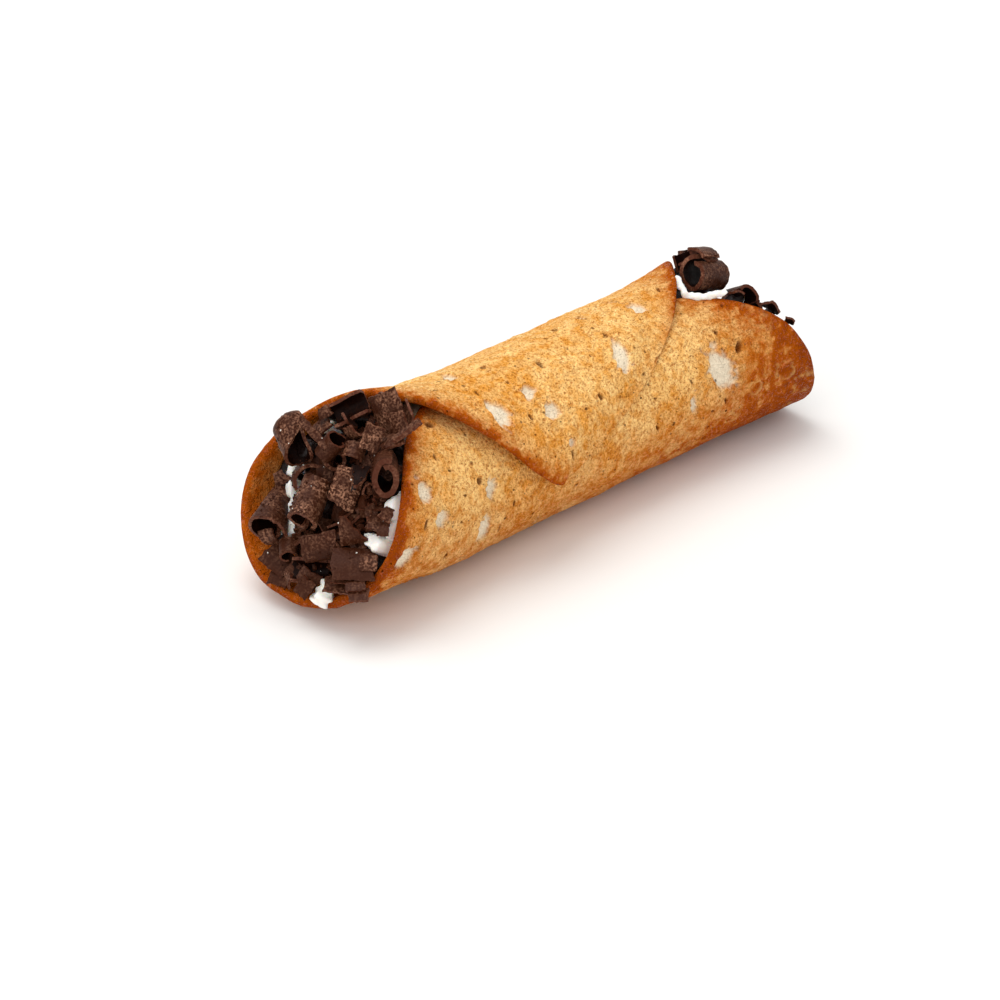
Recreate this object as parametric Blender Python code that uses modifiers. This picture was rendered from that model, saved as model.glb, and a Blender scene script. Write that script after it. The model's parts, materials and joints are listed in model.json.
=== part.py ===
"""A cannoli: a blistered pastry round rolled into a tube, filled with cream from end to end, with
chocolate curls heaped in both open mouths.

The tube lies along X on the plane Z = 0. An angle round the tube is a turn in degrees: 0 points to
+Y, 90 up, 180 to -Y and 270 down. The pastry starts inside the roof at about turn -300, runs down
the -Y side, under the tube (-90), up the +Y side (0), over the top (90), and its free corner lies
on the -Y side at about turn 196.
"""
import math

import bmesh
import bpy
from mathutils import Matrix, Vector, noise

MM = 0.001
CLEAR = 0.3 * MM                # gap kept between solids that touch

# Pastry round: its outline in turns and length. Powers are those of the super-ellipse quarters
# that bound it, one for the turn and one for the length.
SHELL_LENGTH = 135.8 * MM
MIDDLE_TURN = -60.0
OUTER_REACH = 242.0             # from the middle of the round to its free corner, in degrees
INNER_REACH = 240.0             # from the middle of the round to its hidden edge, in degrees
OUTER_POWERS_LEFT = (1.4, 1.3)
OUTER_POWERS_RIGHT = (1.4, 1.4)
INNER_POWERS_LEFT = (2.1, 2.0)
INNER_POWERS_RIGHT = (2.6, 2.0)
CORNER_SKEW = 12.0 * MM         # the free corner lies this far towards -X
SKEW_START = 60.0               # turn where that sideways run begins
SHELL_COLUMNS = 48              # faces round the tube and along it
SHELL_ROWS = 20

# Tube that the rolled round makes. A run is the pair of places along X where a change begins
# and where it is complete.
WALL = 2.1 * MM
RIM_ROUNDING = 0.7 * MM
WAIST_RADIUS = 16.9 * MM        # outer face of the inner lap, at the waist
LAP_RISE = 2.5 * MM             # how far the outer lap stands above the inner one
LAP_RISE_TURNS = (-150.0, 55.0)
LEFT_FLARE = 1.1 * MM           # the mouth at -X is this much wider in radius than the waist
LEFT_FLARE_RUN = (-16 * MM, -44 * MM)
LEFT_SPREAD = 2.4 * MM          # and this much wider again to both sides
LEFT_SPREAD_RUN = (-30 * MM, -62 * MM)
LEFT_SPREAD_TURN = -8.0         # turn of the widest place
RIGHT_FLARE = 1.2 * MM
RIGHT_FLARE_RUN = (30 * MM, 66 * MM)
RIGHT_SWELL = 0.9 * MM          # and this much wider again on the near side
RIGHT_SWELL_RUN = (44 * MM, 62 * MM)
UNDERSIDE_FLARE = 0.3           # share of the flare that is left underneath
LEFT_BEND = 3.2 * MM            # how far the tube's axis bends up at its ends
LEFT_BEND_RUN = (-30 * MM, -64 * MM)
RIGHT_BEND = 0.9 * MM
RIGHT_BEND_RUN = (35 * MM, 66 * MM)
LEFT_FLAP_LIFT = 1.9 * MM       # how far the free edge stands off the lap below it
LEFT_FLAP_RUN = (-10 * MM, -34 * MM)
LEFT_FLAP_TURNS = (35.0, 80.0)
RIGHT_FLAP_LIFT = 0.8 * MM
RIGHT_FLAP_RUN = (30 * MM, 44 * MM)
RIGHT_FLAP_TURNS = (45.0, 70.0)
FLAP_EDGE = 0.75                # the lift starts at this share of the way to the round's edge
UNEVENNESS = 0.25 * MM
SINK = 0.4 * MM                 # how deep the round tube is flattened where it rests

# Cream and its heaped ends
HEAP_FOOT = 56.5 * MM           # distance of the heap's lower edge from the tube's middle
HEAP_LEAN = 24.0 * MM           # how far the heap's top leans back from its foot
HEAP_HEIGHT = 38.0 * MM
HEAP_CURVE = 3.5                # power of that lean: upright below, leaning back near the top
HEAP_BULGE = 1.0 * MM
HEAP_CROWN = 2.2 * MM           # how far the cream wells up where the pastry leaves the roof open
CREAM_GAP = 1.6 * CLEAR         # kept to the pastry, because both are faceted
CREAM_LENGTHS = 8               # faces along the cream and across it
CREAM_WIDTHS = 12

# Chocolate curls
CURL_THICKNESS = 0.9 * MM
SPIRAL_PITCH = 1.4 * MM         # radius that a curl gains in one full turn
RAGGED = 0.12                   # unevenness of a curl's cut edges, as a part of its length

# The mouths lean back: their plane's normal points outwards and up by this angle
MOUTH_LEAN = 31.0
MOUTH_X = 57.0 * MM
MOUTH_Z = 18.0 * MM


def smooth(low, high, value):
    """Zero below low, one above high, with an S-shaped ramp between them (low may be the larger)."""
    share = min(max((value - low) / (high - low), 0.0), 1.0)
    return share * share * (3.0 - 2.0 * share)


# ---------------------------------------------------------------- pastry

def flare(turn, x):
    """How much the tube widens towards its mouths, less so underneath."""
    left = LEFT_FLARE * smooth(*LEFT_FLARE_RUN, x)
    right = RIGHT_FLARE * smooth(*RIGHT_FLARE_RUN, x)
    near = RIGHT_SWELL * smooth(*RIGHT_SWELL_RUN, x) * max(-math.cos(math.radians(turn)), 0.0)
    underneath = smooth(-0.5, -1.0, math.sin(math.radians(turn)))
    sideways = abs(math.cos(math.radians(turn - LEFT_SPREAD_TURN))) ** 3
    spread = LEFT_SPREAD * smooth(*LEFT_SPREAD_RUN, x) * sideways
    return (left + right) * (1.0 - (1.0 - UNDERSIDE_FLARE) * underneath) + spread + near


def lap_radius(turn):
    """Radius of the pastry's outer face at the waist, on the lap that this turn belongs to."""
    return WAIST_RADIUS + LAP_RISE * smooth(*LAP_RISE_TURNS, turn)


def axis_height(x):
    """Height of the tube's axis, which bends up a little at both ends."""
    left = LEFT_BEND * smooth(*LEFT_BEND_RUN, x)
    right = RIGHT_BEND * smooth(*RIGHT_BEND_RUN, x)
    return lap_radius(-90.0) - SINK + left + right


def outer_radius(turn, x):
    """Radius of the pastry's outer face here, flared and a little uneven."""
    angle = math.radians(turn)
    place = Vector((x / (20 * MM), 1.3 * math.cos(angle), 1.3 * math.sin(angle)))
    return lap_radius(turn) + flare(turn, x) + UNEVENNESS * noise.noise(place)


def skew(turn):
    """Sideways run of the round's middle line towards the free corner."""
    share = max(turn - SKEW_START, 0.0) / (180.0 - SKEW_START)
    return -CORNER_SKEW * share ** 2


def outline_powers(outer, left):
    """Powers of the super-ellipse quarter that bounds the round here."""
    if outer:
        return OUTER_POWERS_LEFT if left else OUTER_POWERS_RIGHT
    return INNER_POWERS_LEFT if left else INNER_POWERS_RIGHT


def round_to_roll(u, v):
    """Map the square (-1..1, -1..1) to (turn, x) on the round; u = -1 and 1 are its two tips."""
    share = 0.5 * math.sin(u * math.pi / 2.0) + 0.5 * u
    outer = share > 0.0
    turn_power, length_power = outline_powers(outer, v < 0.0)
    half_length = max(1.0 - abs(share) ** turn_power, 0.0) ** (1.0 / length_power)
    turn = MIDDLE_TURN + share * (OUTER_REACH if outer else INNER_REACH)
    return turn, v * half_length * SHELL_LENGTH / 2.0 + skew(turn)


def past_edge(turn, x):
    """Below 1 where the round covers this place, 1 on its edge, above 1 beyond it."""
    outer = turn > MIDDLE_TURN
    run = x - skew(turn)
    turn_power, length_power = outline_powers(outer, run < 0.0)
    turn_share = abs(turn - MIDDLE_TURN) / (OUTER_REACH if outer else INNER_REACH)
    return turn_share ** turn_power + abs(run / (SHELL_LENGTH / 2.0)) ** length_power


def flap_lift(turn, x):
    """How far the free flap stands off the lap below it, near both mouths."""
    left = LEFT_FLAP_LIFT * smooth(*LEFT_FLAP_TURNS, turn) * smooth(*LEFT_FLAP_RUN, x)
    right = RIGHT_FLAP_LIFT * smooth(*RIGHT_FLAP_TURNS, turn) * smooth(*RIGHT_FLAP_RUN, x)
    return (left + right) * smooth(FLAP_EDGE, 1.0, past_edge(turn, x))


def shell_point(u, v):
    """Point on the pastry's outer face."""
    turn, x = round_to_roll(u, v)
    radius = outer_radius(turn, x) + flap_lift(turn, x)
    angle = math.radians(turn)
    height = axis_height(x) + radius * math.sin(angle)
    return Vector((x, radius * math.cos(angle), max(height, 0.0)))


def make_shell(collection):
    mesh = bpy.data.meshes.new("pastry_shell")
    sheet = bmesh.new()
    bmesh.ops.create_grid(sheet, x_segments=SHELL_COLUMNS, y_segments=SHELL_ROWS, size=1.0)
    for vertex in sheet.verts:
        vertex.co = shell_point(vertex.co.x, vertex.co.y)
    bmesh.ops.remove_doubles(sheet, verts=sheet.verts, dist=0.01 * MM)
    bmesh.ops.recalc_face_normals(sheet, faces=sheet.faces)
    face_outwards(sheet)
    sheet.to_mesh(mesh)
    sheet.free()
    shell = add_object("pastry_shell", mesh, collection, "baked_pastry")
    thickness = shell.modifiers.new("Wall", "SOLIDIFY")
    thickness.thickness = WALL
    thickness.offset = -1.0
    thickness.use_even_offset = True
    rim = shell.modifiers.new("Rim", "BEVEL")
    rim.width = RIM_ROUNDING
    rim.segments = 1
    rim.limit_method = "ANGLE"
    rim.angle_limit = math.radians(50)
    return shell


def face_outwards(sheet):
    """Turn an open sheet's faces away from the tube's axis."""
    lowest = min(sheet.faces, key=lambda face: face.calc_center_median().z)
    if lowest.normal.z > 0.0:
        bmesh.ops.reverse_faces(sheet, faces=sheet.faces)


# ---------------------------------------------------------------- cream

def bore_radius(turn, x):
    """Free radius inside the pastry in this direction (turn in 0..360), gap taken off."""
    outer_turn = turn - 360.0 if turn > 210.0 else turn
    inner_turn = turn - 360.0
    wide = outer_radius(outer_turn, x)
    narrow = outer_radius(inner_turn, x)
    under_inner_lap = smooth(1.45, 1.12, past_edge(inner_turn, x)) if turn < 300.0 else 0.0
    radius = wide + (narrow - wide) * under_inner_lap - WALL - CREAM_GAP
    open_roof = smooth(1.02, 1.25, past_edge(outer_turn, x)) * (1.0 - under_inner_lap)
    return radius + HEAP_CROWN * open_roof


def heap_x(side, height):
    """X of the heap's face at this height, on the side -1 or 1."""
    return side * (HEAP_FOOT - HEAP_LEAN * (height / HEAP_HEIGHT) ** HEAP_CURVE)


def cream_point(corner):
    """Map a point of the surface of the cube (-1..1) to the cream's surface."""
    a = corner.y * math.sqrt(1.0 - corner.z ** 2 / 2.0)
    b = corner.z * math.sqrt(1.0 - corner.y ** 2 / 2.0)
    reach = math.hypot(a, b)
    turn = math.degrees(math.atan2(b, a)) % 360.0
    angle = math.radians(turn)
    x = corner.x * (HEAP_FOOT - HEAP_LEAN / 2.0)
    height = 0.0
    for _ in range(6):
        radius = reach * bore_radius(turn, x)
        height = axis_height(x) + radius * math.sin(angle)
        ends = heap_x(-1, max(height, 0.0)), heap_x(1, max(height, 0.0))
        x = ends[0] + (ends[1] - ends[0]) * (corner.x + 1.0) / 2.0
    if abs(corner.x) > 0.999:
        lumps = noise.noise(Vector((x, radius * math.cos(angle), height)) / (5 * MM))
        x += corner.x * HEAP_BULGE * (1.0 - reach ** 3) * (1.0 + 0.4 * lumps)
    return Vector((x, radius * math.cos(angle), max(height, WALL + CREAM_GAP)))


def make_cream(collection):
    mesh = bpy.data.meshes.new("cream_filling")
    cream = bmesh.new()
    bmesh.ops.create_cube(cream, size=2.0)
    lengthwise = [edge for edge in cream.edges if abs(edge.verts[0].co.x - edge.verts[1].co.x) > 1.0]
    bmesh.ops.subdivide_edges(cream, edges=lengthwise, cuts=CREAM_LENGTHS - 1, use_grid_fill=True)
    across = [edge for edge in cream.edges if abs(edge.verts[0].co.x - edge.verts[1].co.x) < 1e-6]
    bmesh.ops.subdivide_edges(cream, edges=across, cuts=CREAM_WIDTHS - 1, use_grid_fill=True)
    for vertex in cream.verts:
        vertex.co = cream_point(vertex.co)
    bmesh.ops.recalc_face_normals(cream, faces=cream.faces)
    cream.to_mesh(mesh)
    cream.free()
    return add_object("cream_filling", mesh, collection, "whipped_cream")


# ---------------------------------------------------------------- chocolate curls

def mouth_frame(side):
    """Frame of a mouth: X across it, Y up its slope, Z straight out of it (side is -1 or 1)."""
    lean = Matrix.Rotation(math.radians(90.0 - MOUTH_LEAN), 4, "X")
    facing = Matrix.Rotation(math.radians(-90.0 if side < 0 else 90.0), 4, "Z")
    return Matrix.Translation((side * MOUTH_X, 0.0, MOUTH_Z)) @ facing @ lean


class Curl:
    """One shaving of chocolate: a strip rolled by a sweep of degrees round its own axis.

    place  across, up and out of the mouth, in millimetres
    aim    heading of its axis in the mouth's plane, rise out of that plane, spin round its axis
    size   radius, sweep and length, in millimetres and degrees
    point  0 for a strip of even width, 1 for one that runs out to a point
    bias   where that point lies along the strip's width, from -1 to 1
    late   power that keeps the strip wide up to its last part before it narrows
    squash width of its cross-section as a share of its height
    """

    def __init__(self, name, place, aim, size, point=0.0, bias=0.0, late=1.0, squash=1.0):
        self.name = name
        self.place = place
        self.aim = aim
        self.radius, self.sweep, self.length = size
        self.point = point
        self.bias = bias
        self.late = late
        self.squash = squash


LEFT_CURLS = (
    Curl("curl_left_tall", (-10.8, 11.6, 8.2), (-41, -8, 65), (2.8, 320, 9.5), 0.7, bias=-1, late=3),
    Curl("curl_left_spiral", (-11.7, -3.5, 4.2), (-56, 31, 0), (2.5, 430, 10.0)),
    Curl("curl_left_barrel", (-0.9, 2.2, 8.3), (-69, 24, 0), (2.5, 330, 9.0)),
    Curl("curl_left_arch", (-8.8, 6.2, 3.6), (0, 42, -35), (3.4, 165, 4.4)),
    Curl("curl_left_ring", (11.7, 13.3, 4.1), (-14, 42, 120), (3.2, 400, 6.3), squash=0.65),
    Curl("curl_left_hood", (-4.9, 21.2, 1.8), (51, -17, 180), (2.4, 190, 7.2)),
    Curl("curl_left_brow", (4.6, 23.8, 2.1), (-51, -22, 10), (9.0, 50, 8.4)),
    Curl("curl_left_leaf", (4.6, 7.7, 5.5), (95, -4, 40), (5.0, 65, 9.5), 0.3),
    Curl("curl_left_cradle", (4.9, -5.5, 6.1), (35, -20, 40), (3.4, 110, 7.5)),
    Curl("curl_left_wedge", (9.8, 0.2, 6.4), (35, -16, 40), (9.0, 40, 5.8), 0.8),
    Curl("curl_left_slab", (12.8, -5.4, 4.9), (24, -34, -20), (8.0, 50, 8.4)),
    Curl("curl_left_cup", (1.4, -10.6, 2.7), (21, -30, 180), (2.2, 170, 7.0)),
    Curl("curl_left_foot", (10.6, -10.6, 4.4), (20, -39, -40), (7.0, 32, 5.0)),
    Curl("curl_left_cob", (3.8, -13.9, 5.2), (70, 4, 20), (4.0, 45, 3.8)),
    Curl("curl_left_heel", (17.2, -10.2, 5.0), (30, -30, -40), (5.0, 40, 3.8)),
    Curl("curl_left_edge", (-7.0, -11.6, 3), (-20, -25, -35), (6.0, 50, 6.0)),
    Curl("curl_left_ribbon", (8.8, 10.7, 7.9), (20, -20, 150), (5.0, 60, 3.8), 0.8),
    Curl("curl_left_quill", (-2.0, 11.0, 3.7), (8, 40, 120), (1.9, 290, 3.8)),
    Curl("curl_left_strip", (-4.6, 14.9, 10.2), (-25, -23, -40), (6.0, 15, 8.5)),
    Curl("curl_left_chip", (6.1, 18.4, 5.4), (-91, -5, -35), (6.0, 34, 5.0)),
    Curl("curl_left_chunk", (8.7, 19.3, 2.8), (40, -20, -40), (6.0, 34, 4.2)),
    Curl("curl_left_shard", (12.6, 22.4, 4.3), (57, -10, -30), (6.0, 12, 6.5)),
    Curl("curl_left_nib", (15.3, 6.1, 3.8), (-10, -35, -40), (5.0, 33, 3.0), 0.4),
    Curl("curl_left_dice", (13.6, 3.5, 3.6), (10, -30, -40), (5.0, 34, 3.4)),
    Curl("curl_left_flag", (-9.3, 16.0, 3.2), (60, -15, -30), (5.0, 50, 4.4), 0.3),
)
RIGHT_CURLS = (
    Curl("curl_right_ring", (0.5, 18.6, 2.3), (96, -40, 200), (3.0, 360, 9.0), squash=0.85),
    Curl("curl_right_cap", (2.2, 22.2, 5.2), (98, -40, 0), (3.4, 80, 5.2)),
    Curl("curl_right_thimble", (10.2, 15.8, 5.0), (60, 40, 90), (1.4, 250, 3.4)),
    Curl("curl_right_rim", (-4.4, 12.0, 4.6), (150, 10, 10), (2.4, 160, 7.0)),
    Curl("curl_right_beak", (-11.8, 9.8, 5.4), (150, 10, 0), (5.0, 38, 4.2), 0.6),
    Curl("curl_right_spiral", (9.5, -2, 4.5), (-62, 25, 0), (2.1, 420, 10.0)),
    Curl("curl_right_barrel", (0.2, 2.7, 6.1), (-20, 10, 0), (2.5, 320, 8.5)),
    Curl("curl_right_leaf", (9, 9, 4.5), (75, 5, 20), (5.0, 80, 8.5), 0.4),
    Curl("curl_right_trough", (-7.5, -2.5, 4), (80, -10, 160), (3.0, 170, 8.0)),
    Curl("curl_right_slab", (-1, -10, 3.5), (10, -15, 10), (7.0, 50, 8.5)),
    Curl("curl_right_foot", (9, -11, 3), (-30, -20, 10), (6.0, 40, 5.5)),
)


def make_curl(curl, side, collection):
    mesh = bpy.data.meshes.new(curl.name)
    columns = max(4, round(curl.sweep / 30.0))
    strip = bmesh.new()
    bmesh.ops.create_grid(strip, x_segments=columns, y_segments=2, size=1.0)
    half_sweep = math.radians(curl.sweep) / 2.0
    radius = curl.radius * MM
    sag = radius * math.sin(half_sweep) / half_sweep
    seed = sum(curl.place)
    for vertex in strip.verts:
        along, side_share = vertex.co.x, vertex.co.y
        ragged = 1.0 + RAGGED * noise.noise(Vector((2.0 * along, 1.5 * side_share, seed)))
        narrowing = curl.point * ((along + 1.0) / 2.0) ** curl.late
        across = ragged * (1.0 - narrowing) * side_share + curl.bias * narrowing
        turn = along * half_sweep
        reach = radius + SPIRAL_PITCH * turn / math.tau
        vertex.co = (across * curl.length * MM / 2.0,
                     curl.squash * reach * math.sin(turn), reach * math.cos(turn) - sag)
    bmesh.ops.recalc_face_normals(strip, faces=strip.faces)
    strip.to_mesh(mesh)
    strip.free()
    piece = add_object(curl.name, mesh, collection, "dark_chocolate")
    heading, rise, spin = (math.radians(angle) for angle in curl.aim)
    place = Matrix.Translation(Vector(curl.place) * MM)
    turned = (Matrix.Rotation(heading, 4, "Z") @ Matrix.Rotation(-rise, 4, "Y")
              @ Matrix.Rotation(spin, 4, "X"))
    piece.matrix_world = mouth_frame(side) @ place @ turned
    thickness = piece.modifiers.new("Thickness", "SOLIDIFY")
    thickness.thickness = CURL_THICKNESS
    thickness.offset = 0.0
    return piece


# ---------------------------------------------------------------- scene

MATERIALS = {
    "baked_pastry": ((0.55, 0.27, 0.08, 1.0), 0.6),
    "whipped_cream": ((0.85, 0.83, 0.76, 1.0), 0.5),
    "dark_chocolate": ((0.045, 0.022, 0.015, 1.0), 0.5),
}


def make_material(name):
    color, roughness = MATERIALS[name]
    material = bpy.data.materials.new(name)
    material.use_nodes = True
    shader = material.node_tree.nodes["Principled BSDF"]
    shader.inputs["Base Color"].default_value = color
    shader.inputs["Roughness"].default_value = roughness
    shader.inputs["Metallic"].default_value = 0.0
    return material


def add_object(name, mesh, collection, material):
    """Put a mesh into the collection as an object with smooth shading and its material."""
    item = bpy.data.objects.new(name, mesh)
    collection.objects.link(item)
    mesh.shade_smooth()
    mesh.set_sharp_from_angle(angle=math.radians(40))
    mesh.materials.append(bpy.data.materials.get(material) or make_material(material))
    return item


def centre_on_floor(collection):
    """Parent the pieces to one empty and set it so that their bounding box is centred on Z."""
    root = bpy.data.objects.new("cannoli_root", None)
    depsgraph = bpy.context.evaluated_depsgraph_get()
    corners = []
    for item in collection.objects:
        solid = item.evaluated_get(depsgraph)
        corners += [solid.matrix_world @ vertex.co for vertex in solid.data.vertices]
        item.parent = root
    collection.objects.link(root)
    middle_x = (min(corner.x for corner in corners) + max(corner.x for corner in corners)) / 2.0
    middle_y = (min(corner.y for corner in corners) + max(corner.y for corner in corners)) / 2.0
    root.location = (-middle_x, -middle_y, 0.0)


def main():
    for item in list(bpy.data.objects):
        bpy.data.objects.remove(item, do_unlink=True)
    cannoli = bpy.data.collections.new("cannoli")
    bpy.context.scene.collection.children.link(cannoli)
    make_shell(cannoli)
    make_cream(cannoli)
    for curl in LEFT_CURLS:
        make_curl(curl, -1, cannoli)
    for curl in RIGHT_CURLS:
        make_curl(curl, 1, cannoli)
    centre_on_floor(cannoli)


main()
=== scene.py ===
"""Dresses the cannoli: blistered fried pastry, whipped cream, and chocolate curls with crumbs.

Every shape is worked out in the tube's own frame (X along the tube, Z = 0 the floor) and then moved
by one offset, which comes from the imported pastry's box.
"""
import json
import math
import random

import bmesh
import bpy
from bpy.props import FloatProperty, FloatVectorProperty, IntProperty, PointerProperty
from mathutils import Matrix, Vector, noise
from mathutils.bvhtree import BVHTree

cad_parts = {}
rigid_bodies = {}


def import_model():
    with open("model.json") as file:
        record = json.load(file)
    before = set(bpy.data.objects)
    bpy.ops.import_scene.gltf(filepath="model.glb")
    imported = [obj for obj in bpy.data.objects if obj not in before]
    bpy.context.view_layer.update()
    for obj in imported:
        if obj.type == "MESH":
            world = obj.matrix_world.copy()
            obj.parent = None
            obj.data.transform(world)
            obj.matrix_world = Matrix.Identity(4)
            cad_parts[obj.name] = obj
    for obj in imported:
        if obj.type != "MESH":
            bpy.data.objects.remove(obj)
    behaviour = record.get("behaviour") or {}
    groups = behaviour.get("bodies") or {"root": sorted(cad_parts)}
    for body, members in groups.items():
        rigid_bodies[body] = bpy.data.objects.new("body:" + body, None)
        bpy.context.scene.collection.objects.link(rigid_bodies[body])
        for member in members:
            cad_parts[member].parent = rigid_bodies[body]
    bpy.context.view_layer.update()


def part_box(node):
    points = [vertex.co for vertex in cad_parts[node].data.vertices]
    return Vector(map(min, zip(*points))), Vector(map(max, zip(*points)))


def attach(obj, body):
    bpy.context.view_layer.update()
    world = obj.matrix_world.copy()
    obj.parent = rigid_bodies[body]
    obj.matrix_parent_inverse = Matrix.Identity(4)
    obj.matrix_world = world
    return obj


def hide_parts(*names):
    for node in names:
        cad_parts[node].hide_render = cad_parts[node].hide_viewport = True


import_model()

bl_info = {
    "name": "Cannoli",
    "version": (1, 0, 0),
    "blender": (4, 5, 0),
    "location": "View3D > Sidebar > Cannoli",
    "description": "Builds a cream-filled cannoli with chocolate curls in both mouths",
    "category": "Object",
}

MM = 0.001

# Outline of the pastry round, in turns round the tube and in length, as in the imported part
SHELL_LENGTH = 135.8 * MM
MIDDLE_TURN = -60.0
OUTER_REACH = 242.0
INNER_REACH = 240.0
OUTER_POWERS_LEFT = (1.4, 1.3)
OUTER_POWERS_RIGHT = (1.4, 1.4)
INNER_POWERS_LEFT = (2.1, 2.0)
INNER_POWERS_RIGHT = (2.6, 2.0)
CORNER_SKEW = 12.0 * MM
SKEW_START = 60.0

# Tube that the rolled round makes. A run is the pair of places where a change begins and where it
# is complete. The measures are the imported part's, but the left flap's lift begins nearer the
# tube's middle here, so that the free edge stands up a little sooner.
WAIST_RADIUS = 16.9 * MM
LAP_RISE = 2.5 * MM
LAP_RISE_TURNS = (-150.0, 55.0)
LEFT_FLARE = 1.1 * MM
LEFT_FLARE_RUN = (-16 * MM, -44 * MM)
LEFT_SPREAD = 2.4 * MM
LEFT_SPREAD_RUN = (-30 * MM, -62 * MM)
LEFT_SPREAD_TURN = -8.0
RIGHT_FLARE = 1.2 * MM
RIGHT_FLARE_RUN = (30 * MM, 66 * MM)
RIGHT_SWELL = 0.9 * MM
RIGHT_SWELL_RUN = (44 * MM, 62 * MM)
UNDERSIDE_FLARE = 0.3
LEFT_BEND = 3.2 * MM
LEFT_BEND_RUN = (-30 * MM, -64 * MM)
RIGHT_BEND = 0.9 * MM
RIGHT_BEND_RUN = (35 * MM, 66 * MM)
LEFT_FLAP_LIFT = 1.9 * MM
LEFT_FLAP_RUN = (6 * MM, -28 * MM)
LEFT_FLAP_TURNS = (35.0, 80.0)
RIGHT_FLAP_LIFT = 0.8 * MM
RIGHT_FLAP_RUN = (30 * MM, 44 * MM)
RIGHT_FLAP_TURNS = (45.0, 70.0)
FLAP_EDGE = 0.75
SINK = 0.4 * MM

# The flap's right edge and its corner are pressed flush into the lap below. The pairs say where
# that begins and is complete: in turns, past the round's middle line, along the tube and, at the
# corner, in turns again. Then follow its reach from the edge and the share of the wall it takes.
PRESS_TURNS = (60.0, 100.0)
PRESS_SIDE = (-2 * MM, 2 * MM)
PRESS_END = (38 * MM, 22 * MM)
PRESS_CORNER = (180.0, 198.0)
PRESS_WIDTH = 9 * MM
PRESSED_SHARE = 0.85

# Faces of the pastry's grid round and along the tube, and of the cream along and across it
PASTRY_GRID = (190, 104)
CREAM_GRID = (12, 84)

# Seeds of the random draws, thickness of the small shavings, and how much of the right mouth's
# cream is darkened, as crumbs and painted shade, where no mound carries a curl
BLISTER_SEED = 7
SHAVING_SEED = 21
CRUMB_SEED = 5
SHAVING_THICKNESS = 0.5 * MM
RIGHT_CRUMBS_AND_SHADE = 0.55

# Heap of cream in the mouths
HEAP_FOOT = 56.5 * MM
HEAP_LEAN = 24.0 * MM
HEAP_HEIGHT = 38.0 * MM
HEAP_CURVE = 3.5
HEAP_BULGE = 1.0 * MM
HEAP_CROWN = 2.2 * MM
CREAM_GAP = 0.4 * MM

# Mouth frames and curl shape
MOUTH_LEAN = 31.0
MOUTH_X = 57.0 * MM
MOUTH_Z = 18.0 * MM
SPIRAL_PITCH = 1.4 * MM

# Camera: where it stands, where it looks, and its lens in millimetres
CAMERA_PLACE = (-0.61114, -0.61178, 0.47215)
CAMERA_LOOK = (0.6156, 0.6260, -0.4787)
CAMERA_LENS = 172.8
CAMERA_SENSOR = 36.0

# Blisters on the pastry: turn, place along the tube (mm), half length, half width (mm), and the
# angle of the length from the tube's direction. Windows are thin pale skins, rings are popped
# bubbles, pits are holes that bubbles left.
WINDOWS = (
    (125, -23.5, 3.0, 2.0, 87), (120, -12.9, 1.9, 1.2, -73), (137, -10.5, 1.9, 1.6, -22),
    (158, -9.2, 1.0, 0.8, 19), (-207, -48.6, 2.3, 1.4, 83), (-193, -30.2, 2.0, 1.3, -64),
    (-188, -46.1, 1.9, 1.7, -53), (-167, -32.8, 2.5, 1.7, -76), (-172, -56.6, 2.4, 1.6, -44),
    (123, 12.8, 3.4, 1.8, -81), (96, 26.4, 1.7, 1.5, -26), (-201, 36.9, 4.5, 3.0, 72),
    (-184, 28.0, 1.7, 0.9, -83),
)
RINGS = (
    (-193, -29.8, 2.8, 2.1, -57), (-187, -46.1, 2.5, 2.2, -54), (-167, -32.1, 3.6, 2.6, 15),
    (-177, 45.7, 1.8, 1.3, 21), (-161, 25.1, 2.0, 1.4, 15), (-180, 53.8, 2.6, 1.6, 40),
    (-164, 60.2, 3.0, 2.2, 24), (-222, 50.1, 2.1, 1.6, 51), (-232, 49.5, 1.0, 0.8, 25),
    (-216, 42.0, 1.2, 0.9, 21), (145, 12.3, 1.4, 1.0, 19), (-159, 39.7, 1.8, 1.1, 25),
    (149, 2.0, 1.1, 0.8, -76), (116, 21.7, 1.3, 1.1, -25), (-213, -41.4, 1.4, 1.1, -72),
)
PITS = (
    (106, -5.4, 1.3, 0.6, -85), (107, -23.4, 1.0, 0.4, -80), (108, -15.0, 0.5, 0.4, -62),
    (95, -31.1, 1.1, 0.4, -10), (135, -16.5, 1.0, 0.5, -89), (141, 2.3, 1.0, 0.6, 82),
    (166, -9.8, 1.4, 0.6, 84), (-226, -41.6, 1.0, 0.4, -72), (-202, -32.8, 1.0, 0.8, -84),
    (-197, -37.8, 0.6, 0.35, 15), (-175, -23.9, 1.0, 0.4, -84), (-188, -50.3, 1.5, 0.5, -61),
    (-159, -43.4, 1.5, 0.6, -79), (-181, -39.9, 0.5, 0.3, 18), (-159, -27.4, 1.2, 0.45, 88),
    (106, 13.3, 0.85, 0.65, 89), (-226, 39.4, 0.7, 0.5, 90), (-210, 43.3, 1.7, 0.9, -53),
    (-202, 28.4, 0.65, 0.4, 71), (-177, 37.4, 0.9, 0.45, 90), (-181, 17.0, 1.0, 0.45, 59),
    (139, 16.4, 0.4, 0.35, 85), (134, 21.5, 0.6, 0.5, 77), (-215, -39.8, 0.6, 0.4, 13),
    (-173, 33.7, 0.6, 0.35, 21), (144, -2.4, 0.5, 0.35, 19), (-202, 17.7, 0.45, 0.3, 19),
)
# Turns that the listed blisters cover; the rest of the pastry gets random ones
PLACED_OUTER = (88.0, 200.0)
PLACED_INNER = (-240.0, -150.0)

# Loose flakes fill the mouths (-1 left, 1 right) up to this height over the mouth's plane
HEAP_TOPS = ((-1, 3.2 * MM), (1, 2.2 * MM))

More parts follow.
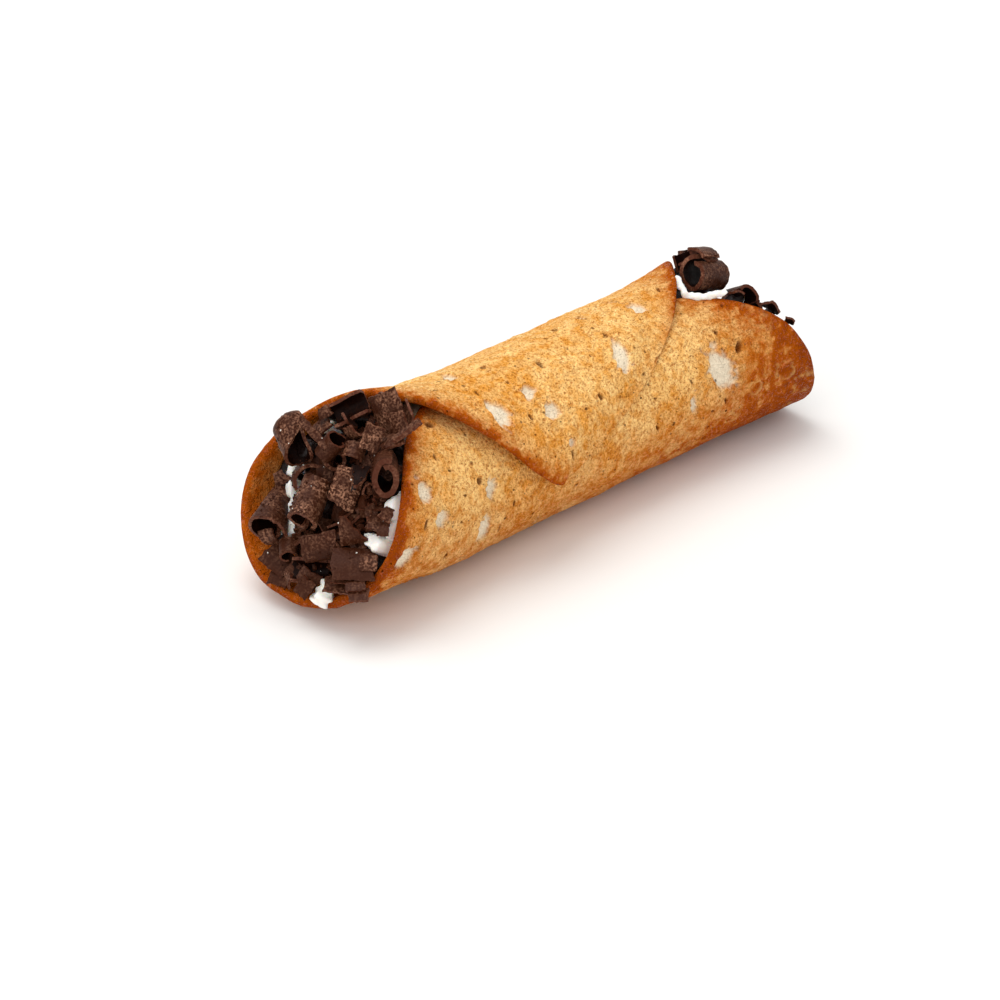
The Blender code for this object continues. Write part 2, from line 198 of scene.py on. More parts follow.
# Dollops that the cream pushes up between the curls: across, up, out, half width, half height (mm)
LEFT_DOLLOPS = (
    (14.4, 0.0, 3.4, 4.4, 2.3), (16.8, 3.2, 3.0, 2.6, 2.8), (15.0, 7.6, 3.0, 2.8, 4.2),
    (-13.0, 6.0, 2.6, 1.8, 2.6), (-11.6, 1.6, 2.8, 1.9, 2.8), (-9.9, -2.0, 2.8, 1.9, 2.6),
    (-8.2, -5.6, 3.4, 2.4, 2.8), (6.0, -15.4, 3.0, 2.6, 2.8), (-4.8, 13.8, 3.4, 1.2, 1.2),
    (-9.8, 15.9, 2.6, 1.4, 1.6), (13.6, -9.0, 2.6, 2.6, 1.4),
)
RIGHT_DOLLOPS = (
    (-4.0, 10.0, 1.6, 3.0, 2.6), (4.0, -5.0, 2.2, 2.6, 2.2), (-9.0, 4.0, 2.0, 2.6, 3.0),
    (5.0, -14.0, 1.0, 3.0, 2.0), (-4.0, -6.5, 2.0, 2.2, 2.0), (13.5, 3.0, 2.4, 2.0, 2.6),
)
# Cream that carries a curl from below: side, across, up, out, radius (mm)
MOUNDS = (
    (-1, -0.9, 2.2, 6.6, 2.6), (-1, -9.6, 10.6, 6.2, 2.2), (-1, -4.9, 21.2, 1.2, 2.4),
    (-1, 10.6, -10.6, 4.4, 1.5), (-1, 3.8, -13.9, 5.1, 1.1), (-1, 2.9, 14.8, 4.9, 1.0),
    (-1, -8.9, 18.7, 4.0, 1.0), (-1, 4.9, -5.5, 5.6, 1.6), (-1, 4.6, 7.7, 5.2, 1.8),
    (1, 0.5, 18.6, 0.1, 2.8), (1, 0.2, 2.7, 4.4, 2.4), (1, -7.5, -2.5, 3.6, 2.0),
    (1, 9.0, 9.0, 4.4, 1.8), (1, 9.0, -11.0, 3.0, 1.8), (1, -4.4, 12.0, 4.2, 1.8),
    (1, -11.8, 9.8, 5.3, 1.1), (1, 10.0, 15.7, 4.6, 1.2), (1, 5.4, 18.4, 2.8, 1.2),
    (1, -7.2, 16.6, 1.8, 1.0), (1, -14.4, 6.4, 5.4, 1.2), (-1, 15.6, 14.6, 1.8, 2.4),
)
# Hollow of the left ring, where the cream stays low: across, up, radius, depth (mm)
RING_HOLLOW = (7.5, 14.2, 3.4, 3.0)

# Cream pressed out over the right rim below the curls: X, Y, Z (mm)
CREAM_BAND = (
    (41.3, 1.5, 37.2), (40.7, 0.3, 36.1), (40.2, -1.2, 35.3), (40.2, -2.6, 34.6),
    (41.1, -3.8, 34.1), (42.9, -5.0, 34.0), (45.1, -6.2, 34.3), (47.8, -7.2, 34.1),
)
BAND_RADIUS = 0.75 * MM
# Cream that runs down over the left mouth's lower lip: X, Y, Z (mm)
CREAM_DRIP = ((-63.3, -6.6, 9.3), (-65.3, -6.8, 8.0), (-66.7, -6.6, 6.8), (-67.2, -6.2, 5.4))
DRIP_RADIUS = 1.7 * MM


def linear(code, alpha=1.0):
    """Linear colour of an sRGB hex code."""
    parts = [int(code[i:i + 2], 16) / 255.0 for i in (1, 3, 5)]
    return [p / 12.92 if p <= 0.04045 else ((p + 0.055) / 1.055) ** 2.4 for p in parts] + [alpha]


def smooth(low, high, value):
    """Zero below low, one above high, with an S-shaped ramp between them."""
    share = min(max((value - low) / (high - low), 0.0), 1.0)
    return share * share * (3.0 - 2.0 * share)


# ---------------------------------------------------------------- settings

def colour(name, description, code):
    return FloatVectorProperty(name=name, description=description, subtype="COLOR", size=4,
                               min=0.0, max=1.0, default=linear(code))


def size(name, description, millimetres):
    return FloatProperty(name=name, description=description, subtype="DISTANCE", unit="LENGTH",
                         min=0.0, default=millimetres * MM, precision=5)


class PastrySettings(bpy.types.PropertyGroup):
    wall: size("Wall", "Thickness of the fried dough", 2.1)
    swell: size("Swell", "Height of the slow swells in its face", 0.32)
    grain: size("Grain", "Height of the fine bubbly grain", 0.16)
    blister_depth: size("Blister depth", "How far a pale window lies below the crust", 0.7)
    pit_depth: size("Pit depth", "Depth of the deepest holes", 1.3)
    pore_spacing: size("Pore spacing", "Distance between fine pores", 2.3)
    golden: colour("Golden", "Well-risen crust", "#ffcd80")
    toasted: colour("Toasted", "Darker patches of the crust", "#eba144")
    # Browned is the crust's browning by its edges and at the right end; it also darkens the crust
    # low down, and is the painted shade in the grain's hollows
    browned_and_shade: colour("Browned", "Crust by the edges and underneath", "#b8590c")
    # Deep is painted shade: it darkens the inside of pits and pores
    deep: colour("Deep", "Inside of pits and the lips' darkest parts", "#5e2406")
    lips: colour("Lips", "Darkest baked lips", "#8f3c0b")
    pale: colour("Pale", "Thin skin of a window", "#fdeed2")


class CreamSettings(bpy.types.PropertyGroup):
    lumps: size("Lumps", "Height of the spoon marks", 0.8)
    white: colour("White", "Whipped cream", "#fffaf0")


class ChocolateSettings(bpy.types.PropertyGroup):
    thickness: size("Thickness", "Thickness of a curl", 0.7)
    ragged: size("Ragged", "Unevenness of broken edges", 0.3)
    dusty: colour("Dusty", "Scraped outer face", "#3c1b0c")
    # Bloom is pale cocoa butter dust; how much each curl gets also serves as painted light
    bloom: colour("Bloom", "Pale dust on the scraped face", "#a8775c")
    # Inner is the smooth face's own dark colour, and partly painted shade in the curls' hollows; the
    # cream takes it too, as painted shade between and under the curls
    inner: colour("Inner", "Smooth inner face", "#150603")
    edge: colour("Edge", "Fresh broken edge", "#52291a")
    shavings: IntProperty(name="Shavings", description="Small flakes in each mouth", default=700)
    crumbs: IntProperty(name="Crumbs", description="Crumbs in each mouth", default=420)


class StageSettings(bpy.types.PropertyGroup):
    floor: colour("Floor", "Pale floor", "#f4f2ef")
    key: FloatProperty(name="Key", description="Power of the softbox overhead", unit="POWER",
                       default=5.6)
    fill: FloatProperty(name="Fill", description="Power of the fill beside the camera",
                        unit="POWER", default=2.6)
    sky: FloatProperty(name="Sky", description="Brightness of the room", default=0.76)


class CannoliSettings(bpy.types.PropertyGroup):
    pastry: PointerProperty(type=PastrySettings)
    cream: PointerProperty(type=CreamSettings)
    chocolate: PointerProperty(type=ChocolateSettings)
    stage: PointerProperty(type=StageSettings)


# ---------------------------------------------------------------- rolled pastry

def flare(turn, x):
    """How much the tube widens towards its mouths, less so underneath."""
    left = LEFT_FLARE * smooth(*LEFT_FLARE_RUN, x)
    right = RIGHT_FLARE * smooth(*RIGHT_FLARE_RUN, x)
    near = RIGHT_SWELL * smooth(*RIGHT_SWELL_RUN, x) * max(-math.cos(math.radians(turn)), 0.0)
    underneath = smooth(-0.5, -1.0, math.sin(math.radians(turn)))
    sideways = abs(math.cos(math.radians(turn - LEFT_SPREAD_TURN))) ** 3
    spread = LEFT_SPREAD * smooth(*LEFT_SPREAD_RUN, x) * sideways
    return (left + right) * (1.0 - (1.0 - UNDERSIDE_FLARE) * underneath) + spread + near


def lap_radius(turn):
    """Radius of the outer face at the waist, on the lap that this turn belongs to."""
    return WAIST_RADIUS + LAP_RISE * smooth(*LAP_RISE_TURNS, turn)


def axis_height(x):
    """Height of the tube's axis, which bends up at both ends."""
    left = LEFT_BEND * smooth(*LEFT_BEND_RUN, x)
    right = RIGHT_BEND * smooth(*RIGHT_BEND_RUN, x)
    return lap_radius(-90.0) - SINK + left + right


def outer_radius(turn, x):
    """Radius of the pastry's outer face, without its swells."""
    return lap_radius(turn) + flare(turn, x)


def skew(turn):
    """Sideways run of the round's middle line towards the free corner."""
    share = max(turn - SKEW_START, 0.0) / (180.0 - SKEW_START)
    return -CORNER_SKEW * share ** 2


def outline_powers(outer, left):
    """Powers of the super-ellipse quarter that bounds the round."""
    if outer:
        return OUTER_POWERS_LEFT if left else OUTER_POWERS_RIGHT
    return INNER_POWERS_LEFT if left else INNER_POWERS_RIGHT


def round_to_roll(u, v):
    """Map the square (-1..1, -1..1) to (turn, x) on the round."""
    share = 0.5 * math.sin(u * math.pi / 2.0) + 0.5 * u
    outer = share > 0.0
    turn_power, length_power = outline_powers(outer, v < 0.0)
    half_length = max(1.0 - abs(share) ** turn_power, 0.0) ** (1.0 / length_power)
    turn = MIDDLE_TURN + share * (OUTER_REACH if outer else INNER_REACH)
    return turn, v * half_length * SHELL_LENGTH / 2.0 + skew(turn)


def past_edge(turn, x):
    """Below 1 where the round covers this place, 1 on its edge, above 1 beyond it."""
    outer = turn > MIDDLE_TURN
    run = x - skew(turn)
    turn_power, length_power = outline_powers(outer, run < 0.0)
    turn_share = abs(turn - MIDDLE_TURN) / (OUTER_REACH if outer else INNER_REACH)
    return turn_share ** turn_power + abs(run / (SHELL_LENGTH / 2.0)) ** length_power


def edge_distance(turn, x):
    """Distance along the face to the round's edge, to first order."""
    step_x, step_turn = 0.2 * MM, 0.5
    here = past_edge(turn, x)
    slope_x = (past_edge(turn, x + step_x) - past_edge(turn, x - step_x)) / (2 * step_x)
    arc = math.radians(step_turn) * outer_radius(turn, x)
    slope_arc = (past_edge(turn + step_turn, x) - past_edge(turn - step_turn, x)) / (2 * arc)
    return max(1.0 - here, 0.0) / max(math.hypot(slope_x, slope_arc), 1e-6)


def flap_lift(turn, x):
    """How far the free flap stands off the lap below it, near both mouths."""
    left = LEFT_FLAP_LIFT * smooth(*LEFT_FLAP_TURNS, turn) * smooth(*LEFT_FLAP_RUN, x)
    right = RIGHT_FLAP_LIFT * smooth(*RIGHT_FLAP_TURNS, turn) * smooth(*RIGHT_FLAP_RUN, x)
    return (left + right) * smooth(FLAP_EDGE, 1.0, past_edge(turn, x))


def roll_point(turn, x, depth=0.0):
    """Point at this depth below the pastry's outer face."""
    angle = math.radians(turn)
    radius = outer_radius(turn, x) + flap_lift(turn, x) - depth
    height = axis_height(x) + radius * math.sin(angle)
    return Vector((x, radius * math.cos(angle), max(height, 0.0)))


def frame_offset():
    """Where the tube's own frame lies in the row frame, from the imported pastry's box."""
    steps = [i / 24.0 - 1.0 for i in range(49)]
    points = [roll_point(*round_to_roll(u, v)) for u in steps for v in steps]
    low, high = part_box("pastry_shell")
    middle = (low + high) / 2.0
    own = [(min(p[i] for p in points) + max(p[i] for p in points)) / 2.0 for i in range(2)]
    return Vector((middle.x - own[0], middle.y - own[1], 0.0))


class Blister:
    """An oval place on the pastry: 0 at its middle, 1 on its edge."""

    def __init__(self, kind, turn, x, long, wide, angle):
        self.kind = kind
        self.turn = turn
        self.x = x * MM
        self.long = long * MM
        self.wide = wide * MM
        self.cos = math.cos(math.radians(angle))
        self.sin = math.sin(math.radians(angle))
        self.radius = outer_radius(turn, self.x)

    def reach(self, turn, x):
        """Share of the way from the middle to the edge."""
        run = x - self.x
        arc = math.radians(turn - self.turn) * self.radius
        along = run * self.cos + arc * self.sin
        across = arc * self.cos - run * self.sin
        return math.hypot(along / self.long, across / self.wide)


def random_blisters():
    """Blisters where none are listed: the back, the underside and the inner lap."""
    draw = random.Random(BLISTER_SEED)
    made = []
    kinds = (("window", 26, (1.0, 2.6)), ("ring", 26, (0.9, 2.4)), ("pit", 90, (0.45, 1.3)))
    for kind, count, (low, high) in kinds:
        while count > 0:
            turn, x = draw.uniform(-250.0, 130.0), draw.uniform(-62.0, 62.0)
            long = draw.uniform(low, high)
            wide = long * draw.uniform(0.4, 0.85)
            angle = draw.uniform(40.0, 130.0)
            covered = PLACED_OUTER[0] < turn < PLACED_OUTER[1] or \
                PLACED_INNER[0] < turn < PLACED_INNER[1]
            if covered or past_edge(turn, x * MM) > 0.93:
                continue
            blister = Blister(kind, turn, x, long, wide, angle)
            if any(abs(b.turn - turn) < 14 and abs(b.x - blister.x) < 4 * MM for b in made):
                continue
            made.append(blister)
            count -= 1
    return made


class BlisterMap:
    """Blisters sorted into cells, so that a place meets only those near it."""

    TURN_CELL = 20.0
    LENGTH_CELL = 10.0 * MM

    def __init__(self, blisters):
        self.cells = {}
        for blister in blisters:
            t, c = self.cell(blister.turn, blister.x)
            for key in ((t + i, c + j) for i in (-1, 0, 1) for j in (-1, 0, 1)):
                self.cells.setdefault(key, []).append(blister)

    def cell(self, turn, x):
        return math.floor(turn / self.TURN_CELL), math.floor(x / self.LENGTH_CELL)

    def near(self, turn, x):
        return self.cells.get(self.cell(turn, x), ())


def wobble(turn, x, cell, seed):
    """Noise that repeats round the tube, at this cell size."""
    angle = math.radians(turn)
    around = 18.5 * MM / cell
    return noise.noise(Vector((x / cell, around * math.cos(angle) + seed,
                               around * math.sin(angle))))


def pastry_relief(settings, blisters, turn, x):
    """Height of the relief here, and how much of a window, a ring and a pit this place is."""
    window, ring, pit, height = -1.0, 0.0, -1.0, 0.0
    for blister in blisters.near(turn, x):
        reach = blister.reach(turn, x)
        if reach > 2.5:
            continue
        if blister.kind != "pit":
            reach *= 1.0 + 0.4 * wobble(turn, x, 1.1 * MM, 3.0) + 0.4 * wobble(turn, x, 3 * MM, 6.0)
        if blister.kind == "window":
            window = max(window, 1.0 - reach)
            height -= settings.blister_depth * smooth(1.05, 0.7, reach)
            height += 0.35 * settings.blister_depth * math.exp(-((reach - 1.15) / 0.14) ** 2)
        elif blister.kind == "ring":
            broken = 0.5 + wobble(turn, x, 1.5 * MM, 12.0)
            crest = broken * math.exp(-((reach - 1.0) / 0.2) ** 2)
            ring = max(ring, crest)
            height += 0.22 * MM * crest - 0.12 * MM * smooth(1.0, 0.5, reach)
        else:
            depth = min(settings.pit_depth, 1.9 * blister.wide)
            pit = max(pit, 1.0 - reach)
            height -= depth * smooth(1.1, 0.15, reach)
            height += 0.08 * MM * math.exp(-((reach - 1.4) / 0.25) ** 2)
    return height, window, ring, pit


def pressed(turn, x, distance):
    """Share of the wall that is pressed away: the flap's right edge lies flush in the lap below."""
    if turn < PRESS_TURNS[0]:
        return 0.0
    right = smooth(*PRESS_TURNS, turn) * smooth(*PRESS_SIDE, x - skew(turn))
    right *= smooth(*PRESS_END, x)
    corner = 0.5 * smooth(*PRESS_CORNER, turn)
    return PRESSED_SHARE * max(right, corner) * smooth(PRESS_WIDTH, 0.0, distance)


def edge_rows(v):
    """Crowd the grid's outermost rows towards the edge, where the lip is rounded."""
    rows, lip, half = 0.92, 1.8 * MM, SHELL_LENGTH / 2.0
    share = abs(v)
    if share <= rows:
        moved = share / rows * (1.0 - lip / half)
    else:
        moved = 1.0 - lip / half * ((1.0 - share) / (1.0 - rows)) ** 2
    return math.copysign(moved, v)


def refine_blisters(sheet, blisters):
    """Split the grid's faces twice round each blister, away from the grid's border."""
    for widen in (1.5, 1.25):
        chosen = set()
        for face in sheet.faces:
            middle = face.calc_center_median()
            if max(abs(middle.x), abs(middle.y)) > 0.91:
                continue
            turn, x = round_to_roll(middle.x, edge_rows(middle.y))
            for blister in blisters.near(turn, x):
                margin = 0.8 * MM / blister.wide if blister.kind == "pit" else 0.3
                if blister.reach(turn, x) < widen + margin:
                    chosen.update(face.edges)
                    break
        bmesh.ops.subdivide_edges(sheet, edges=list(chosen), cuts=1, use_grid_fill=True)


def browning(turn, x, distance):
    """How much browning the crust gets: by its edges and towards the right end. It is also made
    darker low down, on the underside. Above 1 it turns to the lips' deep red-brown."""
    near_lip = math.exp(-distance / (1.9 * MM))
    if turn < -100.0:
        lip = (1.5 if x < 0.0 else 0.7) * near_lip + 0.3 * math.exp(-distance / (7 * MM))
    else:
        flush = pressed(turn, x, 0.0)
        lip = (0.95 * near_lip + 0.3 * math.exp(-distance / (5 * MM))) * (1.0 - 0.95 * flush)
    # darker low down, towards the underside
    below = math.sin(math.radians(turn))
    low = (0.55 + 0.25 * smooth(0.0, 20 * MM, x)) * smooth(0.6, -0.7, below)
    right_end = 0.95 * smooth(26 * MM, 64 * MM, x)
    return lip + low + right_end


def pastry_face(settings, offset, blisters=None):
    """One face of the pastry, as a grid: the outer one where blisters are given, else the inner."""
    columns, rows = PASTRY_GRID
    sheet = bmesh.new()
    bmesh.ops.create_grid(sheet, x_segments=columns, y_segments=rows, size=1.0)
    outer = blisters is not None
    if outer:
        refine_blisters(sheet, blisters)
    layers = {name: sheet.verts.layers.float.new(name)
              for name in ("window", "ring", "pit", "baked", "inside")}
    for vertex in sheet.verts:
        turn, x = round_to_roll(vertex.co.x, edge_rows(vertex.co.y))
        distance = edge_distance(turn, x)
        if max(abs(vertex.co.x), abs(vertex.co.y)) > 0.9999:
            distance = 0.0
        pressed_wall = settings.wall * pressed(turn, x, distance)
        half_wall = (settings.wall - pressed_wall) / 2.0
        lip = math.sqrt(1.0 - (1.0 - min(distance / half_wall, 1.0)) ** 2)
        depth = pressed_wall + half_wall * (1.0 - lip if outer else 1.0 + lip)
        relief, window, ring, pit = 0.0, -1.0, 0.0, -1.0
        if outer:
            relief, window, ring, pit = pastry_relief(settings, blisters, turn, x)
        swell = settings.swell * (wobble(turn, x, 13 * MM, 0.0)
                                  + 0.45 * wobble(turn, x, 5 * MM, 9.0))
        grain = settings.grain * lip * wobble(turn, x, 1.6 * MM, turn // 200.0)
        vertex[layers["window"]] = window
        vertex[layers["ring"]] = ring
        vertex[layers["pit"]] = pit
        vertex[layers["baked"]] = browning(turn, x, distance)
        vertex[layers["inside"]] = 0.0 if outer else lip
        ripple = 0.3 * MM * wobble(turn, x, 6 * MM, 5.0) * smooth(6 * MM, 0.0, distance)
        place = roll_point(turn, x + ripple, depth - relief - swell - grain)
        vertex.co = place + offset
    bmesh.ops.recalc_face_normals(sheet, faces=sheet.faces)
    lowest = min(sheet.faces, key=lambda face: face.calc_center_median().z)
    if (lowest.normal.z > 0.0) == outer:
        bmesh.ops.reverse_faces(sheet, faces=sheet.faces)
    return sheet


def join_sheets(name, sheets, weld):
    """One mesh of several sheets, welded where they meet."""
    mesh = bpy.data.meshes.new(name)
    whole = bmesh.new()
    for sheet in sheets:
        sheet.to_mesh(mesh)
        sheet.free()
        whole.from_mesh(mesh)
    bmesh.ops.remove_doubles(whole, verts=whole.verts, dist=weld)
    whole.to_mesh(mesh)
    whole.free()
    mesh.shade_smooth()
    return mesh


def add_piece(name, mesh, materials, slot, *nodes):
    """A finished piece of the cannoli, which rides on the root and stands for these CAD nodes."""
    piece = bpy.data.objects.new(name, mesh)
    bpy.context.scene.collection.objects.link(piece)
    for index, material in enumerate(materials):
        if index < len(mesh.materials):
            mesh.materials[index] = material
        else:
            mesh.materials.append(material)
    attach(piece, "root")
    if nodes:
        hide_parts(*nodes)
    return piece


# ---------------------------------------------------------------- materials

def add_node(tree, kind, values=None, links=None, **settings):
    """Add a shader node with its settings, socket values and incoming links."""
    made = tree.nodes.new(kind)
    for name, value in settings.items():
        setattr(made, name, value)
    for socket, value in (values or {}).items():
        made.inputs[socket].default_value = value
    for socket, source in (links or {}).items():
        tree.links.new(source, made.inputs[socket])
    return made


def start_material(name):
    """An empty material with its shader, and its object coordinates."""
    material = bpy.data.materials.new(name)
    material.use_nodes = True
    tree = material.node_tree
    shader = tree.nodes["Principled BSDF"]
    coords = add_node(tree, "ShaderNodeTexCoord")
    return material, tree, shader, coords.outputs["Object"]


def per_metre(millimetres):
    """Texture scale whose pattern repeats at about this real size."""
    return 1.0 / (millimetres * MM)


def fried_pastry(settings):
    """Deep-fried dough: a golden crust of fine crisp grain with greasy glints, painted highlights on
    its crests and painted shade in its hollows, pores and pits darkened as painted shade, pale
    windows where bubbles left a thin skin, and browner lips."""
    material, tree, shader, place = start_material("fried_pastry")
    window, ring, pit, baked, inside = (
        add_node(tree, "ShaderNodeAttribute", attribute_name=name).outputs["Fac"]
        for name in ("window", "ring", "pit", "baked", "inside"))
    patches, mottle, grit, sand = (
        add_node(tree, "ShaderNodeTexNoise", {"Scale": per_metre(size), "Detail": detail},
                 {"Vector": place}).outputs["Fac"]
        for size, detail in ((12.0, 3.0), (2.4, 4.0), (0.62, 3.0), (0.3, 2.0)))

    # golden crust with toasted patches and flecks
    patch_tone = add_node(tree, "ShaderNodeMapRange", {1: 0.40, 2: 0.62, 3: 0.0, 4: 0.48},
                          {0: patches}, interpolation_type="SMOOTHSTEP")
    fleck_tone = add_node(tree, "ShaderNodeMapRange", {1: 0.44, 2: 0.62, 3: 0.0, 4: 0.6},
                          {0: mottle}, interpolation_type="SMOOTHSTEP")
    toast = add_node(tree, "ShaderNodeMath", {},
                     {0: patch_tone.outputs[0], 1: fleck_tone.outputs[0]},
                     operation="ADD", use_clamp=True)
    crust = add_node(tree, "ShaderNodeMix", {6: settings.golden, 7: settings.toasted},
                     {0: toast.outputs[0]}, data_type="RGBA")
    # browning follows the flecks, so that it isn't an even tint
    fleck = add_node(tree, "ShaderNodeMapRange", {1: 0.32, 2: 0.68, 3: 0.55, 4: 1.4}, {0: mottle})
    browner = add_node(tree, "ShaderNodeMath", {}, {0: baked, 1: fleck.outputs[0]},
                       operation="MULTIPLY")
    brown_share = add_node(tree, "ShaderNodeMapRange", {1: 0.0, 2: 1.0, 3: 0.0, 4: 1.0},
                           {0: browner.outputs[0]})
    lip_share = add_node(tree, "ShaderNodeMapRange", {1: 0.8, 2: 1.7, 3: 0.0, 4: 1.0},
                         {0: browner.outputs[0]})
    inner = add_node(tree, "ShaderNodeMath", {1: 0.6}, {0: inside}, operation="MULTIPLY")
    # painted light on the grain: crests are lightened as a painted highlight, hollows browned as
    # painted shade
    grain = add_node(tree, "ShaderNodeMath", {}, {0: grit, 1: sand}, operation="ADD")
    hollow = add_node(tree, "ShaderNodeMapRange", {1: 0.99, 2: 0.72, 3: 0.0, 4: 0.75},
                      {0: grain.outputs[0]})
    tinted = crust.outputs[2]
    for share, tint in ((brown_share, settings.browned_and_shade), (lip_share, settings.lips),
                        (inner, settings.browned_and_shade), (hollow, settings.browned_and_shade)):
        tinted = add_node(tree, "ShaderNodeMix", {7: tint}, {0: share.outputs[0], 6: tinted},
                          data_type="RGBA").outputs[2]
    crest = add_node(tree, "ShaderNodeMapRange", {1: 1.0, 2: 1.24, 3: 1.0, 4: 1.4},
                     {0: grain.outputs[0]})
    painted_grain_light = add_node(tree, "ShaderNodeHueSaturation", {},
                       {"Value": crest.outputs[0], "Color": tinted})
    ring_share = add_node(tree, "ShaderNodeMath", {1: 0.5}, {0: ring}, operation="MULTIPLY")
    window_edge = add_node(tree, "ShaderNodeMath", {1: 0.2}, {0: grain.outputs[0], 2: window},
                           operation="MULTIPLY_ADD")
    window_share = add_node(tree, "ShaderNodeMapRange", {1: 0.12, 2: 0.62, 3: 0.0, 4: 0.95},
                            {0: window_edge.outputs[0]}, interpolation_type="SMOOTHSTEP")

    # pores: only some cells have one; its size is a share of the cell. Pores and pits are darkened
    # with the deep colour as painted shade
    pores = []
    for spacing, rare, width in ((settings.pore_spacing, 0.55, 0.18), (1.0 * MM, 0.82, 0.24)):
        cells = add_node(tree, "ShaderNodeTexVoronoi", {"Scale": 1.0 / spacing, "Randomness": 1.0},
                         {"Vector": place})
        chance = add_node(tree, "ShaderNodeSeparateColor", {}, {0: cells.outputs["Color"]})
        wide = add_node(tree, "ShaderNodeMapRange", {1: rare, 2: 1.0, 3: 0.0, 4: width},
                        {0: chance.outputs[0]})
        gap = add_node(tree, "ShaderNodeMath", {},
                       {0: wide.outputs[0], 1: cells.outputs["Distance"]}, operation="SUBTRACT")
        pores.append(add_node(tree, "ShaderNodeMapRange", {1: -0.05, 2: 0.08, 3: 0.0, 4: 1.0},
                              {0: gap.outputs[0]}, interpolation_type="SMOOTHSTEP").outputs[0])
    pored = add_node(tree, "ShaderNodeMath", {}, {0: pores[0], 1: pores[1]}, operation="MAXIMUM")
    pit_share = add_node(tree, "ShaderNodeMapRange", {1: -0.05, 2: 0.45, 3: 0.0, 4: 1.0},
                         {0: pit}, interpolation_type="SMOOTHSTEP")
    holes = add_node(tree, "ShaderNodeMath", {}, {0: pored.outputs[0], 1: pit_share.outputs[0]},
                     operation="MAXIMUM")
    # painted shade inside pores and pits
    painted_hole_shade = add_node(tree, "ShaderNodeMath", {1: 0.7}, {0: holes.outputs[0]},
                         operation="MULTIPLY")
    tinted = painted_grain_light.outputs[0]
    for share, tint in ((ring_share, settings.golden), (window_share, settings.pale),
                        (painted_hole_shade, settings.deep)):
        tinted = add_node(tree, "ShaderNodeMix", {7: tint}, {0: share.outputs[0], 6: tinted},
                          data_type="RGBA").outputs[2]
    tree.links.new(tinted, shader.inputs["Base Color"])

    # grease glints on the crests only
    glint = add_node(tree, "ShaderNodeMapRange", {1: 1.04, 2: 1.2, 3: 0.0, 4: 0.35},
                     {0: grain.outputs[0]})
    tree.links.new(glint.outputs[0], shader.inputs["Specular IOR Level"])
    gloss = add_node(tree, "ShaderNodeMapRange", {1: 1.0, 2: 1.2, 3: 0.65, 4: 0.34},
                     {0: grain.outputs[0]})
    tree.links.new(gloss.outputs[0], shader.inputs["Roughness"])

    bump = None
    for height, depth, sunk in ((mottle, 0.8, False), (grit, 0.6, False), (sand, 0.3, False),
                                (pored.outputs[0], 0.3, True)):
        links = {"Height": height}
        if bump is not None:
            links["Normal"] = bump.outputs[0]
        bump = add_node(tree, "ShaderNodeBump", {"Strength": 1.0, "Distance": depth * MM}, links,
                        invert=sunk)
    tree.links.new(bump.outputs[0], shader.inputs["Normal"])
    return material


def whipped_cream(settings, chocolate):
    """Whipped cream: soft white, light passes a little way in, and between and under the curls it is
    darkened towards the chocolate's inner colour, as fine crumbs and painted shade."""
    material, tree, shader, place = start_material("whipped_cream")
    shader.inputs["Roughness"].default_value = 0.4
    shader.inputs["Specular IOR Level"].default_value = 0.3
    shader.inputs["Subsurface Radius"].default_value = (1.0, 0.7, 0.5)
    shader.inputs["Subsurface Scale"].default_value = 1.5 * MM
    crumbed = add_node(tree, "ShaderNodeAttribute", attribute_name="crumbed").outputs["Fac"]
    grains = add_node(tree, "ShaderNodeTexNoise", {"Scale": per_metre(0.9), "Detail": 4.0},
                      {"Vector": place}).outputs["Fac"]
    # crumbs and painted shade: where this is set, the cream turns nearly black
    edge = add_node(tree, "ShaderNodeMath", {}, {0: crumbed, 1: grains}, operation="ADD")
    crumbs_and_shade_share = add_node(tree, "ShaderNodeMapRange", {1: 0.9, 2: 1.05, 3: 0.0, 4: 1.0},
                     {0: edge.outputs[0]})
    mixed = add_node(tree, "ShaderNodeMix", {6: settings.white, 7: chocolate.inner},
                     {0: crumbs_and_shade_share.outputs[0]}, data_type="RGBA")
    tree.links.new(mixed.outputs[2], shader.inputs["Base Color"])
    soft = add_node(tree, "ShaderNodeMapRange", {1: 0.0, 2: 1.0, 3: 0.4, 4: 0.0},
                    {0: crumbs_and_shade_share.outputs[0]})
    tree.links.new(soft.outputs[0], shader.inputs["Subsurface Weight"])
    depth = add_node(tree, "ShaderNodeMapRange", {1: 0.0, 2: 1.0, 3: 0.12 * MM, 4: 0.7 * MM},
                     {0: crumbs_and_shade_share.outputs[0]})
    bump = add_node(tree, "ShaderNodeBump", {"Strength": 0.8},
                    {"Distance": depth.outputs[0], "Height": grains})
    tree.links.new(bump.outputs[0], shader.inputs["Normal"])
    return material


